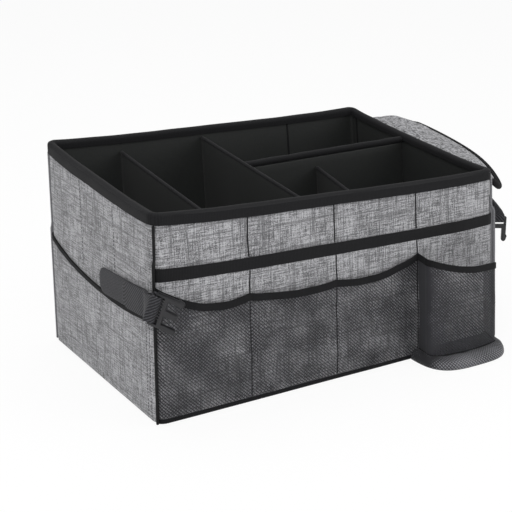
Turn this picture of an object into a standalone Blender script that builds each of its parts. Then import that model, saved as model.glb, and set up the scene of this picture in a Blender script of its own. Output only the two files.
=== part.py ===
"""Back seat organizer: a soft open box of grey oxford cloth over boards, with a black lining,
dividers, mesh and cloth pockets, a side flap and a buckle strap at each end.

Metres, +Z up. The origin is the middle of the underside. The front, with the mesh pockets,
faces -Y, and the flap is on the right, at +X.
"""

import math

import bmesh
import bpy
from mathutils import Matrix, Vector

# Box, outside the cloth
WIDTH = 0.400
DEPTH = 0.243
HEIGHT = 0.213
GAP = 0.0003

# Layers of a wall, from the outside in
CLOTH = 0.0012
WALL_BOARD = 0.0025
LINING = 0.0010
BASE_BOARD = 0.0030
INSIDE_CORNER_RADIUS = 0.004

# How far the filled-out box stands out of square
BASE_SPREAD = 0.0105
RIM_LEAN = 0.0084
FRONT_RIGHT_DROP = 0.0189
FRONT_RIM_SPREAD = 0.0045
FRONT_RIM_POWER = 2.5
FRONT_CORNER_SPREAD = 0.0045
FRONT_CORNER_POWER = 8
BACK_RIGHT_LEAN = 0.0030
BACK_LEFT_RISE = 0.0137
RIM_SAG = 0.0035
SAG_SQUARENESS = 4

# Black tape over the rim
RIM_TAPE = 0.0014
RIM_TAPE_DROP = 0.0115
RIM_CROWN = 0.0007

# Piping down the corners and the tape along the front foot
PIPING_RADIUS = 0.0018
PIPING_RAMP = 0.0072
FOOT_TAPE_HEIGHT = 0.0045
FOOT_TAPE = 0.0026

# Dividers: thickness, where they stand at the back and at the front, and how far under the rim they end
DIVIDER = 0.0035
DIVIDER_CLEARANCE = 0.0006
LEFT_DIVIDER_BACK_X = -0.115
LEFT_DIVIDER_FRONT_X = -0.126
LEFT_DIVIDER_DROP = 0.017
MIDDLE_DIVIDER_BACK_X = -0.0135
MIDDLE_DIVIDER_FRONT_X = -0.0215
MIDDLE_DIVIDER_DROP = 0.011
CROSS_DIVIDER_Y = 0.022
CROSS_DIVIDER_DROP_LEFT = 0.0185
CROSS_DIVIDER_DROP_RIGHT = 0.0115
CROSS_ROLL_RADIUS = 0.0035
SHORT_DIVIDER_BACK_X = 0.077
SHORT_DIVIDER_FRONT_X = 0.054
SHORT_DIVIDER_DROP = 0.027

# Cloth pocket over the whole front, and its binding
POCKET_CLOTH = 0.0012
BINDING = 0.0018
FRONT_POCKET_TOP = 0.159
FRONT_BINDING_HEIGHT = 0.012

# Mesh pockets: hem heights at the left corner and at the three seams, and the sag between them
MESH = 0.0010
HEM = 0.0018
HEM_HEIGHT = 0.0075
HEM_AT_SEAMS = (0.142, 0.1215, 0.118, 0.130)
HEM_SAGS = (0.011, 0.003, 0.007)
MESH_BULGE = 0.0034
MESH_FULL_SHARE = 0.65

# Box pocket at the right end of the front, with a gusset at each side
BOX_POCKET_DEPTH = 0.030
BOX_POCKET_SLANT = 0.006
BOX_POCKET_SIDE_MARGIN = 0.003
BOX_POCKET_RIGHT_MARGIN = 0.0045
BOX_POCKET_LEFT_LEAN = 0.0050
BOX_POCKET_HEM_RIGHT = 0.114
BOX_POCKET_HEM_SAG = 0.004
BOX_POCKET_CORNER = 0.006
BOX_POCKET_BULGE = 0.003
BOX_FOOT_REACH = 0.0515
BOX_FOOT_OVERHANG_LEFT = 0.0105
BOX_FOOT_OVERHANG_RIGHT = 0.0028
BOX_FOOT_EDGE = 0.0030
BOX_FOOT_HEIGHT = 0.0095
BOX_FOOT_SQUARENESS = 3.2

# Cloth pockets on the left and right walls
SIDE_POCKET_TOP_BACK = 0.1175
SIDE_POCKET_TOP_FRONT = 0.111
SIDE_POCKET_SAG = 0.013
SIDE_BINDING_HEIGHT = 0.0040

# Webbing and the male buckle halves
WEBBING = 0.0014
WEBBING_WIDTH = 0.0275
BUCKLE_WIDTH = 0.0335
BUCKLE_THICKNESS = 0.0050
BUCKLE_BAR = 0.0030
BUCKLE_LOOP_RADIUS = 0.0042
BUCKLE_LEAD = 0.0050
BUCKLE_SLOT_SLACK = 0.0020
BUCKLE_SIDE_RAIL = 0.0024
BUCKLE_BRIDGE = 0.0040
BUCKLE_ARM_LENGTH = 0.0150
BUCKLE_ARM = 0.0046
BUCKLE_ARM_TIP = 0.0016
BUCKLE_BARB = 0.0014
BUCKLE_BARB_LENGTH = 0.0075
BUCKLE_TONGUE = 0.0060
BUCKLE_TONGUE_TIP = 0.0030
BUCKLE_TONGUE_LENGTH = 0.0125

# Left strap: where it is sewn on, how high it runs, how far it turns at the front corner, and its buckle
STRAP_START_Y = -0.008
STRAP_TAIL_Y = -0.064
STRAP_HEIGHT_START = 0.1128
STRAP_HEIGHT_CORNER = 0.1228
STRAP_TURN = math.radians(45)
STRAP_CORNER_SLACK = 0.0018
STRAP_BUCKLE_INSET_X = -0.0055
STRAP_BUCKLE_STANDOFF = 0.0095
STRAP_BUCKLE_HEIGHT = 0.1255
STRAP_BUCKLE_DROOP = math.radians(20)

# Right tab, which hangs its buckle half beside the front corner, turned. Drops are from the rim's top
TAB_DROP = 0.021
TAB_TOP_INSET_Y = 0.0365
TAB_SEAM = 0.008
TAB_BUCKLE_INSET_Y = 0.0275
TAB_BUCKLE_DROP = 0.0725
TAB_BUCKLE_STANDOFF = 0.0215
TAB_TURN = math.radians(59)

# Side flap, sewn on under the rim of the right wall
FLAP = 0.0020
FLAP_ROOT_DROP = 0.0096
FLAP_LENGTH = 0.2095
FLAP_MIDDLE_Y = -0.001
FLAP_REACH = 0.0645
FLAP_SQUARENESS = 0.29
FLAP_TAPER = 0.485
FLAP_TAPER_POWER = 1.1
FLAP_EDGE_DROP = 0.0102
FLAP_FRONT_DROOP = 0.033
FLAP_DROOP_POWER = 8
FLAP_CROWN = 0.0015
FLAP_END_ANGLE = 0.02
FLAP_PIPING_RADIUS = 0.0018
FLAP_PIPING_SWELL = 0.9
FLAP_SWELL_POWER = 4
FLAP_PIPING_GAP = 0.0009

# Worked out from the sizes above
WALL = CLOTH + GAP + WALL_BOARD + GAP + LINING
OUTSIDE_RADIUS = INSIDE_CORNER_RADIUS + WALL
WALL_FOOT = CLOTH + GAP
LINING_FOOT = WALL_FOOT + BASE_BOARD + GAP
WALL_TOP = HEIGHT - RIM_TAPE - RIM_CROWN - GAP
FLOOR = LINING_FOOT + LINING + GAP
RIM_INSIDE = WALL + GAP + RIM_TAPE
RIM_OUT = GAP + RIM_TAPE
POCKET_OUT = GAP + POCKET_CLOTH
HEM_OUT = POCKET_OUT + GAP + HEM
SIDE_OUT = GAP + BINDING
FOOT_OUT = GAP + FOOT_TAPE
POCKET_COUNT = len(HEM_AT_SEAMS)
PITCH = WIDTH / POCKET_COUNT
FRONT_Y = -DEPTH / 2
LEFT_X = -WIDTH / 2
RIGHT_X = WIDTH / 2
FLAP_ROOT_X = RIGHT_X + RIM_OUT + GAP + FLAP / 2
FRONT_LEFT_OUT = max(FOOT_OUT, SIDE_OUT, HEM_OUT) + GAP + 2 * PIPING_RADIUS

# Steps in the curved and the straight stretches
CORNER_STEPS = 3
WALL_STEPS = 8
POCKET_STEPS = 8
MESH_ROWS = 6
LOOP_STEPS = 6
STRAP_STEPS = 4
STRAP_CORNER_STEPS = 2
TAB_STEPS = 5
FLAP_STEPS = 20
FLAP_ROWS = 4
BOX_CORNER_STEPS = 2
FOOT_STEPS = 16

SIDE_TURNS = {"front": 0, "right": 1, "back": 2, "left": 3}


def clear_scene():
    """Remove what a new file holds."""
    for obj in list(bpy.data.objects):
        bpy.data.objects.remove(obj, do_unlink=True)


def make_material(name, colour, roughness):
    """A Principled material with one colour and roughness."""
    material = bpy.data.materials.new(name)
    material.use_nodes = True
    shader = material.node_tree.nodes["Principled BSDF"]
    shader.inputs["Base Color"].default_value = (*colour, 1.0)
    shader.inputs["Roughness"].default_value = roughness
    shader.inputs["Metallic"].default_value = 0.0
    material.diffuse_color = (*colour, 1.0)
    return material


def bump(share):
    """0 at both ends of a wall, 1 along its middle."""
    share = min(max(share, 0.0), 1.0)
    return 1.0 - (2.0 * share - 1.0) ** SAG_SQUARENESS


def settle(point):
    """Where a point of the square box lies once the soft box stands as it does."""
    x, y, z = point
    across = (x - LEFT_X) / WIDTH
    back = (y - FRONT_Y) / DEPTH
    up = z / HEIGHT
    lean = across * ((1.0 - up) * BASE_SPREAD - up * (RIM_LEAN + back * BACK_RIGHT_LEAN))
    near = min(max(across, 0.0), 1.0)
    lean += (1.0 - back) * (up * FRONT_RIM_SPREAD * near ** FRONT_RIM_POWER
                            + FRONT_CORNER_SPREAD * near ** FRONT_CORNER_POWER)
    twist = (1.0 - across) * back * BACK_LEFT_RISE - across * (1.0 - back) * FRONT_RIGHT_DROP
    along, deep = bump(across), bump(back)
    sag = RIM_SAG * (along + deep - along * deep)
    return Vector((x + lean, y, z + up * (twist - sag)))


def add_object(name, data, material, collection, pivot=None):
    """Link a mesh or curve as one object, with its origin at the pivot where it has one."""
    obj = bpy.data.objects.new(name, data)
    obj.data.materials.append(material)
    collection.objects.link(obj)
    if pivot is not None:
        obj.data.transform(Matrix.Translation(-pivot))
        obj.location = pivot
    return obj


def sheet(name, rows, thickness, material, collection, offset=1.0, closed=False, pivot=None):
    """Cloth laid over rows of points and thickened: offset 1 outwards, 0 both ways."""
    bm = bmesh.new()
    last_row = len(rows) - 1
    last_column = len(rows[0]) - 1
    bmesh.ops.create_grid(bm, x_segments=last_column, y_segments=last_row, size=0.5)
    for vert in bm.verts:
        column = round((vert.co.x + 0.5) * last_column)
        row = round((vert.co.y + 0.5) * last_row)
        vert.co = rows[row][column]
    if closed:
        bmesh.ops.remove_doubles(bm, verts=bm.verts, dist=GAP / 100)
    mesh = bpy.data.meshes.new(name)
    bm.to_mesh(mesh)
    bm.free()
    obj = add_object(name, mesh, material, collection, pivot)
    solidify = obj.modifiers.new("thickness", "SOLIDIFY")
    solidify.thickness = thickness
    solidify.offset = offset
    solidify.use_even_offset = True
    return obj


def tube(name, points, radius, material, collection, pivot=None, swell=None):
    """A round piping through the points. swell gives each point's share of extra radius."""
    curve = bpy.data.curves.new(name, "CURVE")
    curve.dimensions = "3D"
    curve.bevel_depth = radius
    curve.bevel_resolution = 2
    curve.use_fill_caps = True
    spline = curve.splines.new("POLY")
    spline.points.add(len(points) - 1)
    for index, (target, point) in enumerate(zip(spline.points, points)):
        target.co = (*point, 1.0)
        target.radius = 1.0 + (swell[index] if swell else 0.0)
    return add_object(name, curve, material, collection, pivot)


def flat_outline(curve, points):
    """Add one closed outline to a flat curve."""
    spline = curve.splines.new("POLY")
    spline.points.add(len(points) - 1)
    for target, (x, y) in zip(spline.points, points):
        target.co = (x, y, 0.0, 1.0)
    spline.use_cyclic_u = True


def wall_path(side, out, steps=WALL_STEPS):
    """Plan points of one wall, from mid corner to mid corner, at a distance outside the cloth."""
    turn = SIDE_TURNS[side]
    half_length, distance = (WIDTH / 2, DEPTH / 2) if turn % 2 == 0 else (DEPTH / 2, WIDTH / 2)
    radius = OUTSIDE_RADIUS + out
    half_gap = GAP / 2 / radius
    centre_x = half_length - OUTSIDE_RADIUS
    centre_y = -distance + OUTSIDE_RADIUS
    arc = [half_gap + (math.pi / 4 - half_gap) * step / CORNER_STEPS for step in range(CORNER_STEPS + 1)]
    points = [(-centre_x - radius * math.cos(math.pi / 4 + angle),
               centre_y - radius * math.sin(math.pi / 4 + angle)) for angle in arc]
    for step in range(1, steps):
        points.append((-centre_x + 2 * centre_x * step / steps, centre_y - radius))
    points += [(-x, y) for x, y in reversed(points[:CORNER_STEPS + 1])]
    rotation = Matrix.Rotation(turn * math.pi / 2, 2)
    return [tuple(rotation @ Vector(point)) for point in points]


def wall_sheet(name, side, out, low, high, thickness, material, collection):
    """A cloth or board on one wall. low and high are heights, or functions of the share along."""
    path = wall_path(side, out)
    rows = []
    for level in (low, high):
        row = []
        for index, (x, y) in enumerate(path):
            z = level(index / (len(path) - 1)) if callable(level) else level
            row.append(settle((x, y, z)))
        rows.append(row)
    return sheet(name, rows, thickness, material, collection)


def base_sheet(name, inset, low, thickness, material, collection):
    """A flat layer of the base, with the box's rounded outline."""
    outline = []
    for side in SIDE_TURNS:
        outline += wall_path(side, -inset, steps=1)
    bm = bmesh.new()
    face = bm.faces.new([bm.verts.new(settle((x, y, low))) for x, y in outline])
    bmesh.ops.recalc_face_normals(bm, faces=[face])
    extruded = bmesh.ops.extrude_face_region(bm, geom=[face])["geom"]
    tops = [item for item in extruded if isinstance(item, bmesh.types.BMVert)]
    bmesh.ops.translate(bm, verts=tops, vec=(0.0, 0.0, thickness))
    bmesh.ops.recalc_face_normals(bm, faces=bm.faces)
    mesh = bpy.data.meshes.new(name)
    bm.to_mesh(mesh)
    bm.free()
    return add_object(name, mesh, material, collection)


def build_walls(mats, collection):
    """Outer cloth, boards and lining, as each is cut: one piece for each wall and one for the base."""
    board_out = -CLOTH - GAP - WALL_BOARD
    base_sheet("base_panel", 0.0, 0.0, CLOTH, mats["black_oxford"], collection)
    base_sheet("base_board", -board_out + GAP, WALL_FOOT, BASE_BOARD, mats["board"], collection)
    base_sheet("lining_base", WALL + GAP, LINING_FOOT, LINING, mats["lining"], collection)
    for side in SIDE_TURNS:
        wall_sheet(side + "_panel", side, -CLOTH, WALL_FOOT, WALL_TOP, CLOTH, mats["oxford"], collection)
        wall_sheet(side + "_board", side, board_out, WALL_FOOT, WALL_TOP, WALL_BOARD,
                   mats["board"], collection)
        wall_sheet("lining_" + side, side, -WALL, LINING_FOOT, WALL_TOP, LINING,
                   mats["lining"], collection)


def build_rim(mats, collection):
    """The black tape folded over the top of all four walls."""
    low = HEIGHT - RIM_TAPE_DROP
    shoulder = WALL_TOP + GAP
    crown = shoulder + RIM_CROWN
    profile = [(GAP, low), (GAP, shoulder), (-RIM_CROWN, crown), (RIM_CROWN - WALL, crown),
               (-WALL - GAP, shoulder), (-WALL - GAP, low)]
    rows = []
    for out, z in profile:
        ring = []
        for side in SIDE_TURNS:
            ring += wall_path(side, out)
        ring.append(ring[0])
        rows.append([settle((x, y, z)) for x, y in ring])
    sheet("rim_binding", rows, RIM_TAPE, mats["tape"], collection, closed=True)


def corner_point(turn, reach, z):
    """A point out along the diagonal of one corner, reach beyond the rounded cloth."""
    corner_x = (WIDTH / 2 - OUTSIDE_RADIUS) * (1 if turn in (0, 1) else -1)
    corner_y = (DEPTH / 2 - OUTSIDE_RADIUS) * (1 if turn in (1, 2) else -1)
    diagonal = (OUTSIDE_RADIUS + reach) / math.sqrt(2)
    return settle((corner_x + math.copysign(diagonal, corner_x),
                   corner_y + math.copysign(diagonal, corner_y), z))


def build_corner_piping(mats, collection):
    """Black piping down each corner: it steps out over the pockets sewn into the same seam."""
    top = HEIGHT - RIM_TAPE_DROP - GAP - PIPING_RADIUS / 2
    inner = GAP + PIPING_RADIUS
    corners = (("front_right", 0, inner + max(FOOT_OUT, SIDE_OUT), FRONT_POCKET_TOP),
               ("back_right", 1, inner + SIDE_OUT, SIDE_POCKET_TOP_BACK),
               ("back_left", 2, inner + SIDE_OUT, SIDE_POCKET_TOP_BACK),
               ("front_left", 3, FRONT_LEFT_OUT - PIPING_RADIUS, FRONT_POCKET_TOP))
    for corner, turn, outer, pocket_top in corners:
        ramp_foot = pocket_top + 2 * PIPING_RADIUS
        points = [corner_point(turn, inner, top), corner_point(turn, inner, ramp_foot + PIPING_RAMP),
                  corner_point(turn, outer, ramp_foot), corner_point(turn, outer, WALL_FOOT)]
        tube("piping_" + corner, points, PIPING_RADIUS, mats["tape"], collection)


def divider_rows(back, front, low, high_back, high_front):
    """Rows of an upright divider between two plan points."""
    return [[settle((*front, low)), settle((*back, low))],
            [settle((*front, high_front)), settle((*back, high_back))]]


def build_dividers(mats, collection):
    """The four loose walls inside the box, and the padded roll along the cross one."""
    inside = DEPTH / 2 - RIM_INSIDE - DIVIDER_CLEARANCE
    half = DIVIDER / 2
    cloth = mats["lining"]
    left_top, middle_top = HEIGHT - LEFT_DIVIDER_DROP, HEIGHT - MIDDLE_DIVIDER_DROP
    cross_top_left, cross_top_right = HEIGHT - CROSS_DIVIDER_DROP_LEFT, HEIGHT - CROSS_DIVIDER_DROP_RIGHT
    short_top = HEIGHT - SHORT_DIVIDER_DROP

    def middle_x(y):
        """The middle divider's plane at a depth."""
        share = (y + inside) / (2 * inside)
        return MIDDLE_DIVIDER_FRONT_X + (MIDDLE_DIVIDER_BACK_X - MIDDLE_DIVIDER_FRONT_X) * share

    sheet("divider_left", divider_rows((LEFT_DIVIDER_BACK_X, inside), (LEFT_DIVIDER_FRONT_X, -inside),
          FLOOR, left_top, left_top), DIVIDER, cloth, collection, offset=0.0)
    sheet("divider_middle", divider_rows((middle_x(inside), inside), (middle_x(-inside), -inside),
          FLOOR, middle_top, middle_top), DIVIDER, cloth, collection, offset=0.0)
    cross_left = middle_x(CROSS_DIVIDER_Y) + half + DIVIDER_CLEARANCE
    cross_right = RIGHT_X - RIM_INSIDE - DIVIDER_CLEARANCE
    sheet("divider_cross", divider_rows((cross_right, CROSS_DIVIDER_Y), (cross_left, CROSS_DIVIDER_Y),
          FLOOR, cross_top_right, cross_top_left), DIVIDER, cloth, collection, offset=0.0)
    lift = CROSS_ROLL_RADIUS + GAP
    ends = [(cross_left, cross_top_left + lift), (cross_right, cross_top_right + lift)]
    tube("divider_cross_roll", [settle((x, CROSS_DIVIDER_Y, z)) for x, z in ends], CROSS_ROLL_RADIUS,
         mats["tape"], collection)
    short_back = CROSS_DIVIDER_Y - half - DIVIDER_CLEARANCE
    sheet("divider_short", divider_rows((SHORT_DIVIDER_BACK_X, short_back), (SHORT_DIVIDER_FRONT_X, -inside),
          FLOOR, short_top, short_top), DIVIDER, cloth, collection, offset=0.0)


def build_front_pocket(mats, collection):
    """The grey cloth pocket across the front, its binding, and the tape along the foot."""
    low = FOOT_TAPE_HEIGHT + GAP
    binding_low = FRONT_POCKET_TOP - FRONT_BINDING_HEIGHT
    wall_sheet("front_pocket", "front", GAP, low, binding_low - GAP, POCKET_CLOTH,
               mats["oxford"], collection)
    wall_sheet("front_pocket_binding", "front", GAP, binding_low, FRONT_POCKET_TOP, BINDING,
               mats["tape"], collection)
    wall_sheet("front_foot_tape", "front", GAP, 0.0, FOOT_TAPE_HEIGHT, FOOT_TAPE, mats["tape"], collection)


def side_pocket_top(share):
    """Height of a side pocket's top edge along the wall, from its back end to its front end."""
    chord = SIDE_POCKET_TOP_BACK + (SIDE_POCKET_TOP_FRONT - SIDE_POCKET_TOP_BACK) * share
    return chord - SIDE_POCKET_SAG * 4 * share * (1 - share)


def build_side_pockets(mats, collection):
    """A grey cloth pocket on the left and on the right wall, each with a thin black binding."""
    for side, share_of in (("left", lambda share: share), ("right", lambda share: 1 - share)):
        def top(share, share_of=share_of):
            return side_pocket_top(share_of(share)) - SIDE_BINDING_HEIGHT - GAP

        def binding_low(share, share_of=share_of):
            return side_pocket_top(share_of(share)) - SIDE_BINDING_HEIGHT

        def binding_high(share, share_of=share_of):
            return side_pocket_top(share_of(share))

        wall_sheet(side + "_pocket", side, GAP, WALL_FOOT, top, POCKET_CLOTH, mats["oxford"], collection)
        wall_sheet(side + "_pocket_binding", side, GAP, binding_low, binding_high, BINDING,
                   mats["tape"], collection)


def hem_height(x):
    """Height of the mesh pockets' hem at a place along the front, scalloped from seam to seam."""
    place = min(max((x - LEFT_X) / PITCH, 0.0), POCKET_COUNT - 1)
    pocket = min(int(place), POCKET_COUNT - 2)
    share = place - pocket
    chord = HEM_AT_SEAMS[pocket] + (HEM_AT_SEAMS[pocket + 1] - HEM_AT_SEAMS[pocket]) * share
    return chord - HEM_SAGS[pocket] * 4 * share * (1 - share)


def mesh_plan():
    """Plan points of the mesh over the first three pockets, from the corner to the last seam."""
    corner = wall_path("front", POCKET_OUT + GAP)[:CORNER_STEPS + 1]
    start = corner[-1][0]
    end = LEFT_X + PITCH * (POCKET_COUNT - 1) - GAP
    steps = POCKET_STEPS * (POCKET_COUNT - 1)
    straight = [(start + (end - start) * step / steps, corner[-1][1]) for step in range(1, steps + 1)]
    return corner + straight


def mesh_bulge(x):
    """How far the mesh stands out at a place along the front, between its seams."""
    return MESH_BULGE * abs(math.sin(math.pi * max((x - LEFT_X) / PITCH, 0.0)))


def mesh_point(x, y, share):
    """A point of the mesh, pushed out between the seams and above the foot."""
    low = FOOT_TAPE_HEIGHT + GAP
    high = hem_height(x) - HEM_HEIGHT - GAP
    out = mesh_bulge(x) * math.sin(math.pi / 2 * min(share / MESH_FULL_SHARE, 1.0))
    return settle((x, y - out, low + (high - low) * share))


def build_mesh_pockets(mats, collection):
    """One piece of mesh over three pockets, with its black hem."""
    plan = mesh_plan()
    rows = [[mesh_point(x, y, row / MESH_ROWS) for x, y in plan] for row in range(MESH_ROWS + 1)]
    sheet("mesh_pockets", rows, MESH, mats["mesh"], collection)
    hem_rows = [[settle((x, y - mesh_bulge(x), hem_height(x) + height)) for x, y in plan]
                for height in (-HEM_HEIGHT, 0.0)]
    sheet("mesh_pockets_hem", hem_rows, HEM, mats["tape"], collection)


def box_pocket_plan():
    """Plan points of the box pocket's mesh: left gusset, front, slanted right gusset."""
    left = LEFT_X + PITCH * (POCKET_COUNT - 1) + BOX_POCKET_SIDE_MARGIN
    right = RIGHT_X - OUTSIDE_RADIUS - BOX_POCKET_RIGHT_MARGIN
    wall_y = FRONT_Y - POCKET_OUT - GAP
    front_y = FRONT_Y - BOX_POCKET_DEPTH
    middle_y = (wall_y + front_y) / 2
    radius = BOX_POCKET_CORNER
    lean, slant = BOX_POCKET_LEFT_LEAN, BOX_POCKET_SLANT
    turns = [math.pi / 2 * step / BOX_CORNER_STEPS for step in range(BOX_CORNER_STEPS + 1)]
    corner = [(radius * (1 - math.cos(turn)), front_y + radius * (1 - math.sin(turn))) for turn in turns]
    left_corner = [(left - lean + inset, y) for inset, y in corner]
    right_corner = [(right - slant - inset, y) for inset, y in reversed(corner)]
    front = [((left + right) / 2, front_y - BOX_POCKET_BULGE)]
    return ([(left, wall_y), (left - lean / 2, middle_y)] + left_corner + front + right_corner
            + [(right - slant / 2, middle_y), (right, wall_y)])


def box_hem_height(x, plan):
    """Height of the box pocket's hem, falling from the seam to the right."""
    left, right = plan[0][0], plan[-1][0]
    share = max((x - left) / (right - left), 0.0)
    fall = HEM_AT_SEAMS[-1] + (BOX_POCKET_HEM_RIGHT - HEM_AT_SEAMS[-1]) * share
    return fall - BOX_POCKET_HEM_SAG * 4 * share * (1 - share)


def foot_ring(left, right, reach, z):
    """One level of the box pocket's foot, a squarish half round in plan."""
    middle, half = (left + right) / 2, (right - left) / 2
    wall_y = FRONT_Y - FOOT_OUT - GAP
    power = 2 / BOX_FOOT_SQUARENESS
    ring = []
    for step in range(FOOT_STEPS + 1):
        angle = math.pi * step / FOOT_STEPS
        x = middle - half * math.copysign(abs(math.cos(angle)) ** power, math.cos(angle))
        ring.append(settle((x, wall_y - (reach - FOOT_OUT - GAP) * math.sin(angle) ** power, z)))
    return ring


def build_box_pocket(mats, collection):
    """The gusseted mesh pocket at the right end, its hem, and its soft foot on the ground."""
    plan = box_pocket_plan()
    low = BOX_FOOT_HEIGHT + GAP
    rows = []
    for step in range(MESH_ROWS):
        share = step / (MESH_ROWS - 1)
        rows.append([settle((x, y, low + (box_hem_height(x, plan) - HEM_HEIGHT - GAP - low) * share))
                     for x, y in plan])
    sheet("box_pocket_mesh", rows, MESH, mats["mesh"], collection)
    hem = [[settle((x, y, box_hem_height(x, plan) + height)) for x, y in plan]
           for height in (-HEM_HEIGHT, 0.0)]
    sheet("box_pocket_hem", hem, HEM, mats["tape"], collection)
    left, right = plan[0][0], plan[-1][0]
    wide = (left - BOX_FOOT_OVERHANG_LEFT, right + BOX_FOOT_OVERHANG_RIGHT, BOX_FOOT_REACH)
    rings = [foot_ring(*wide, 0.0), foot_ring(*wide, BOX_FOOT_EDGE),
             foot_ring(left, right, BOX_POCKET_DEPTH + BOX_POCKET_CORNER, BOX_FOOT_HEIGHT)]
    bm = bmesh.new()
    levels = [[bm.verts.new(point) for point in ring] for ring in rings]
    loops = []
    for level in levels:
        loops += [bm.edges.new((level[i], level[(i + 1) % len(level)])) for i in range(len(level))]
    count = len(rings[0])
    bmesh.ops.bridge_loops(bm, edges=loops[:2 * count])
    bmesh.ops.bridge_loops(bm, edges=loops[count:])
    bmesh.ops.holes_fill(bm, edges=[edge for edge in bm.edges if edge.is_boundary])
    bmesh.ops.recalc_face_normals(bm, faces=bm.faces)
    mesh = bpy.data.meshes.new("box_pocket_foot")
    bm.to_mesh(mesh)
    bm.free()
    add_object("box_pocket_foot", mesh, mats["mesh"], collection)


def ribbon(name, stations, material, collection):
    """Webbing through stations of a middle point and the direction of its width."""
    half = WEBBING_WIDTH / 2
    rows = [[point - half * across for point, across in stations],
            [point + half * across for point, across in stations]]
    return sheet(name, rows, WEBBING, material, collection, offset=0.0)


def loop_stations(pivot, along, away, across):
    """Webbing round the buckle's bar: in on the wall's side, round the bar, out on the far side."""
    lead = BUCKLE_LEAD * along
    stations = []
    for step in range(LOOP_STEPS + 1):
        angle = math.pi * step / LOOP_STEPS - math.pi / 2
        reach = math.cos(angle) * along + math.sin(angle) * away
        stations.append((pivot + BUCKLE_LOOP_RADIUS * reach, across))
    first, last = stations[0][0] - lead, stations[-1][0] - lead
    return [(first, across)] + stations + [(last, across)]


def buckle_half(name, pivot, along, away, material, collection):
    """A moulded male buckle half: bar, webbing slot, bridge, two barbed arms and a tongue."""
    half = BUCKLE_WIDTH / 2
    slot_half = half - BUCKLE_SIDE_RAIL
    rear = -BUCKLE_BAR / 2
    slot_end = BUCKLE_LOOP_RADIUS + WEBBING / 2 + GAP + BUCKLE_SLOT_SLACK
    bridge = slot_end + BUCKLE_BRIDGE
    tip = bridge + BUCKLE_ARM_LENGTH
    barb = tip - BUCKLE_BARB_LENGTH
    tongue = bridge + BUCKLE_TONGUE_LENGTH
    shoulder = (BUCKLE_ARM - BUCKLE_ARM_TIP) / 2
    right_side = [(half, rear), (half, barb), (half + BUCKLE_BARB, barb + BUCKLE_BARB),
                  (half, tip - BUCKLE_BARB), (half - shoulder, tip), (half - BUCKLE_ARM + shoulder, tip),
                  (half - BUCKLE_ARM, tip - BUCKLE_BARB), (half - BUCKLE_ARM, bridge),
                  (BUCKLE_TONGUE / 2, bridge), (BUCKLE_TONGUE / 2, tongue - BUCKLE_BARB),
                  (BUCKLE_TONGUE_TIP / 2, tongue)]
    curve = bpy.data.curves.new(name, "CURVE")
    curve.dimensions = "2D"
    curve.fill_mode = "BOTH"
    curve.extrude = BUCKLE_THICKNESS / 2
    flat_outline(curve, right_side + [(-x, y) for x, y in reversed(right_side)])
    flat_outline(curve, [(-slot_half, -rear), (slot_half, -rear),
                         (slot_half, slot_end), (-slot_half, slot_end)])
    obj = add_object(name, curve, material, collection)
    axis = along.cross(away)
    obj.matrix_world = Matrix.Translation(pivot) @ Matrix((axis, along, away)).transposed().to_4x4()
    return obj


def strap_frame():
    """Bar position and directions of the left strap's buckle half."""
    pivot = settle((LEFT_X + STRAP_BUCKLE_INSET_X, FRONT_Y - STRAP_BUCKLE_STANDOFF, STRAP_BUCKLE_HEIGHT))
    level = math.cos(STRAP_BUCKLE_DROOP)
    along = Vector((level * math.sin(STRAP_TURN), -level * math.cos(STRAP_TURN),
                    -math.sin(STRAP_BUCKLE_DROOP)))
    away = Vector((-math.cos(STRAP_TURN), -math.sin(STRAP_TURN), 0.0))
    return pivot, along, away


def build_left_strap(mats, collection):
    """Webbing sewn on the left wall, half round the front corner, through its buckle and back."""
    pivot, along, away = strap_frame()
    across = away.cross(along)
    if across.z < 0:
        across.negate()
    upright = Vector((0.0, 0.0, 1.0))
    lower_out = SIDE_OUT + 2 * GAP + WEBBING / 2
    upper_out = lower_out + WEBBING + 2 * GAP
    corner_y = FRONT_Y + OUTSIDE_RADIUS

    def height(y):
        """Height of the strap's middle, rising to the corner."""
        share = (STRAP_START_Y - y) / (STRAP_START_Y - corner_y)
        return STRAP_HEIGHT_START + (STRAP_HEIGHT_CORNER - STRAP_HEIGHT_START) * share

    def on_wall(out, y):
        return settle((LEFT_X - out, y, height(y))), upright

    def strand(start_y, out):
        """One layer of the strap: along the wall, then round the corner outside the piping."""
        stations = [on_wall(out, start_y + (corner_y - start_y) * step / STRAP_STEPS)
                    for step in range(STRAP_STEPS + 1)]
        radius = OUTSIDE_RADIUS + FRONT_LEFT_OUT + STRAP_CORNER_SLACK + out - lower_out + WEBBING / 2
        for step in range(1, STRAP_CORNER_STEPS):
            share = step / STRAP_CORNER_STEPS
            angle = STRAP_TURN * share
            centre = (LEFT_X + OUTSIDE_RADIUS - radius * math.cos(angle),
                      corner_y - radius * math.sin(angle), STRAP_HEIGHT_CORNER)
            stations.append((settle(centre), upright.lerp(across, share * share).normalized()))
        return stations

    loop = loop_stations(pivot, along, away, across)
    ribbon("left_strap", strand(STRAP_START_Y, lower_out) + loop
           + list(reversed(strand(STRAP_TAIL_Y, upper_out))), mats["webbing"], collection)
    buckle_half("left_buckle", pivot, along, away, mats["plastic"], collection)


def tab_frame():
    """Bar position and directions of the right tab's buckle half, which hangs down."""
    pivot = settle((RIGHT_X + TAB_BUCKLE_STANDOFF, FRONT_Y + TAB_BUCKLE_INSET_Y,
                    HEIGHT - TAB_BUCKLE_DROP))
    return pivot, Vector((0.0, 0.0, -1.0)), Vector((math.cos(TAB_TURN), math.sin(TAB_TURN), 0.0))


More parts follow.
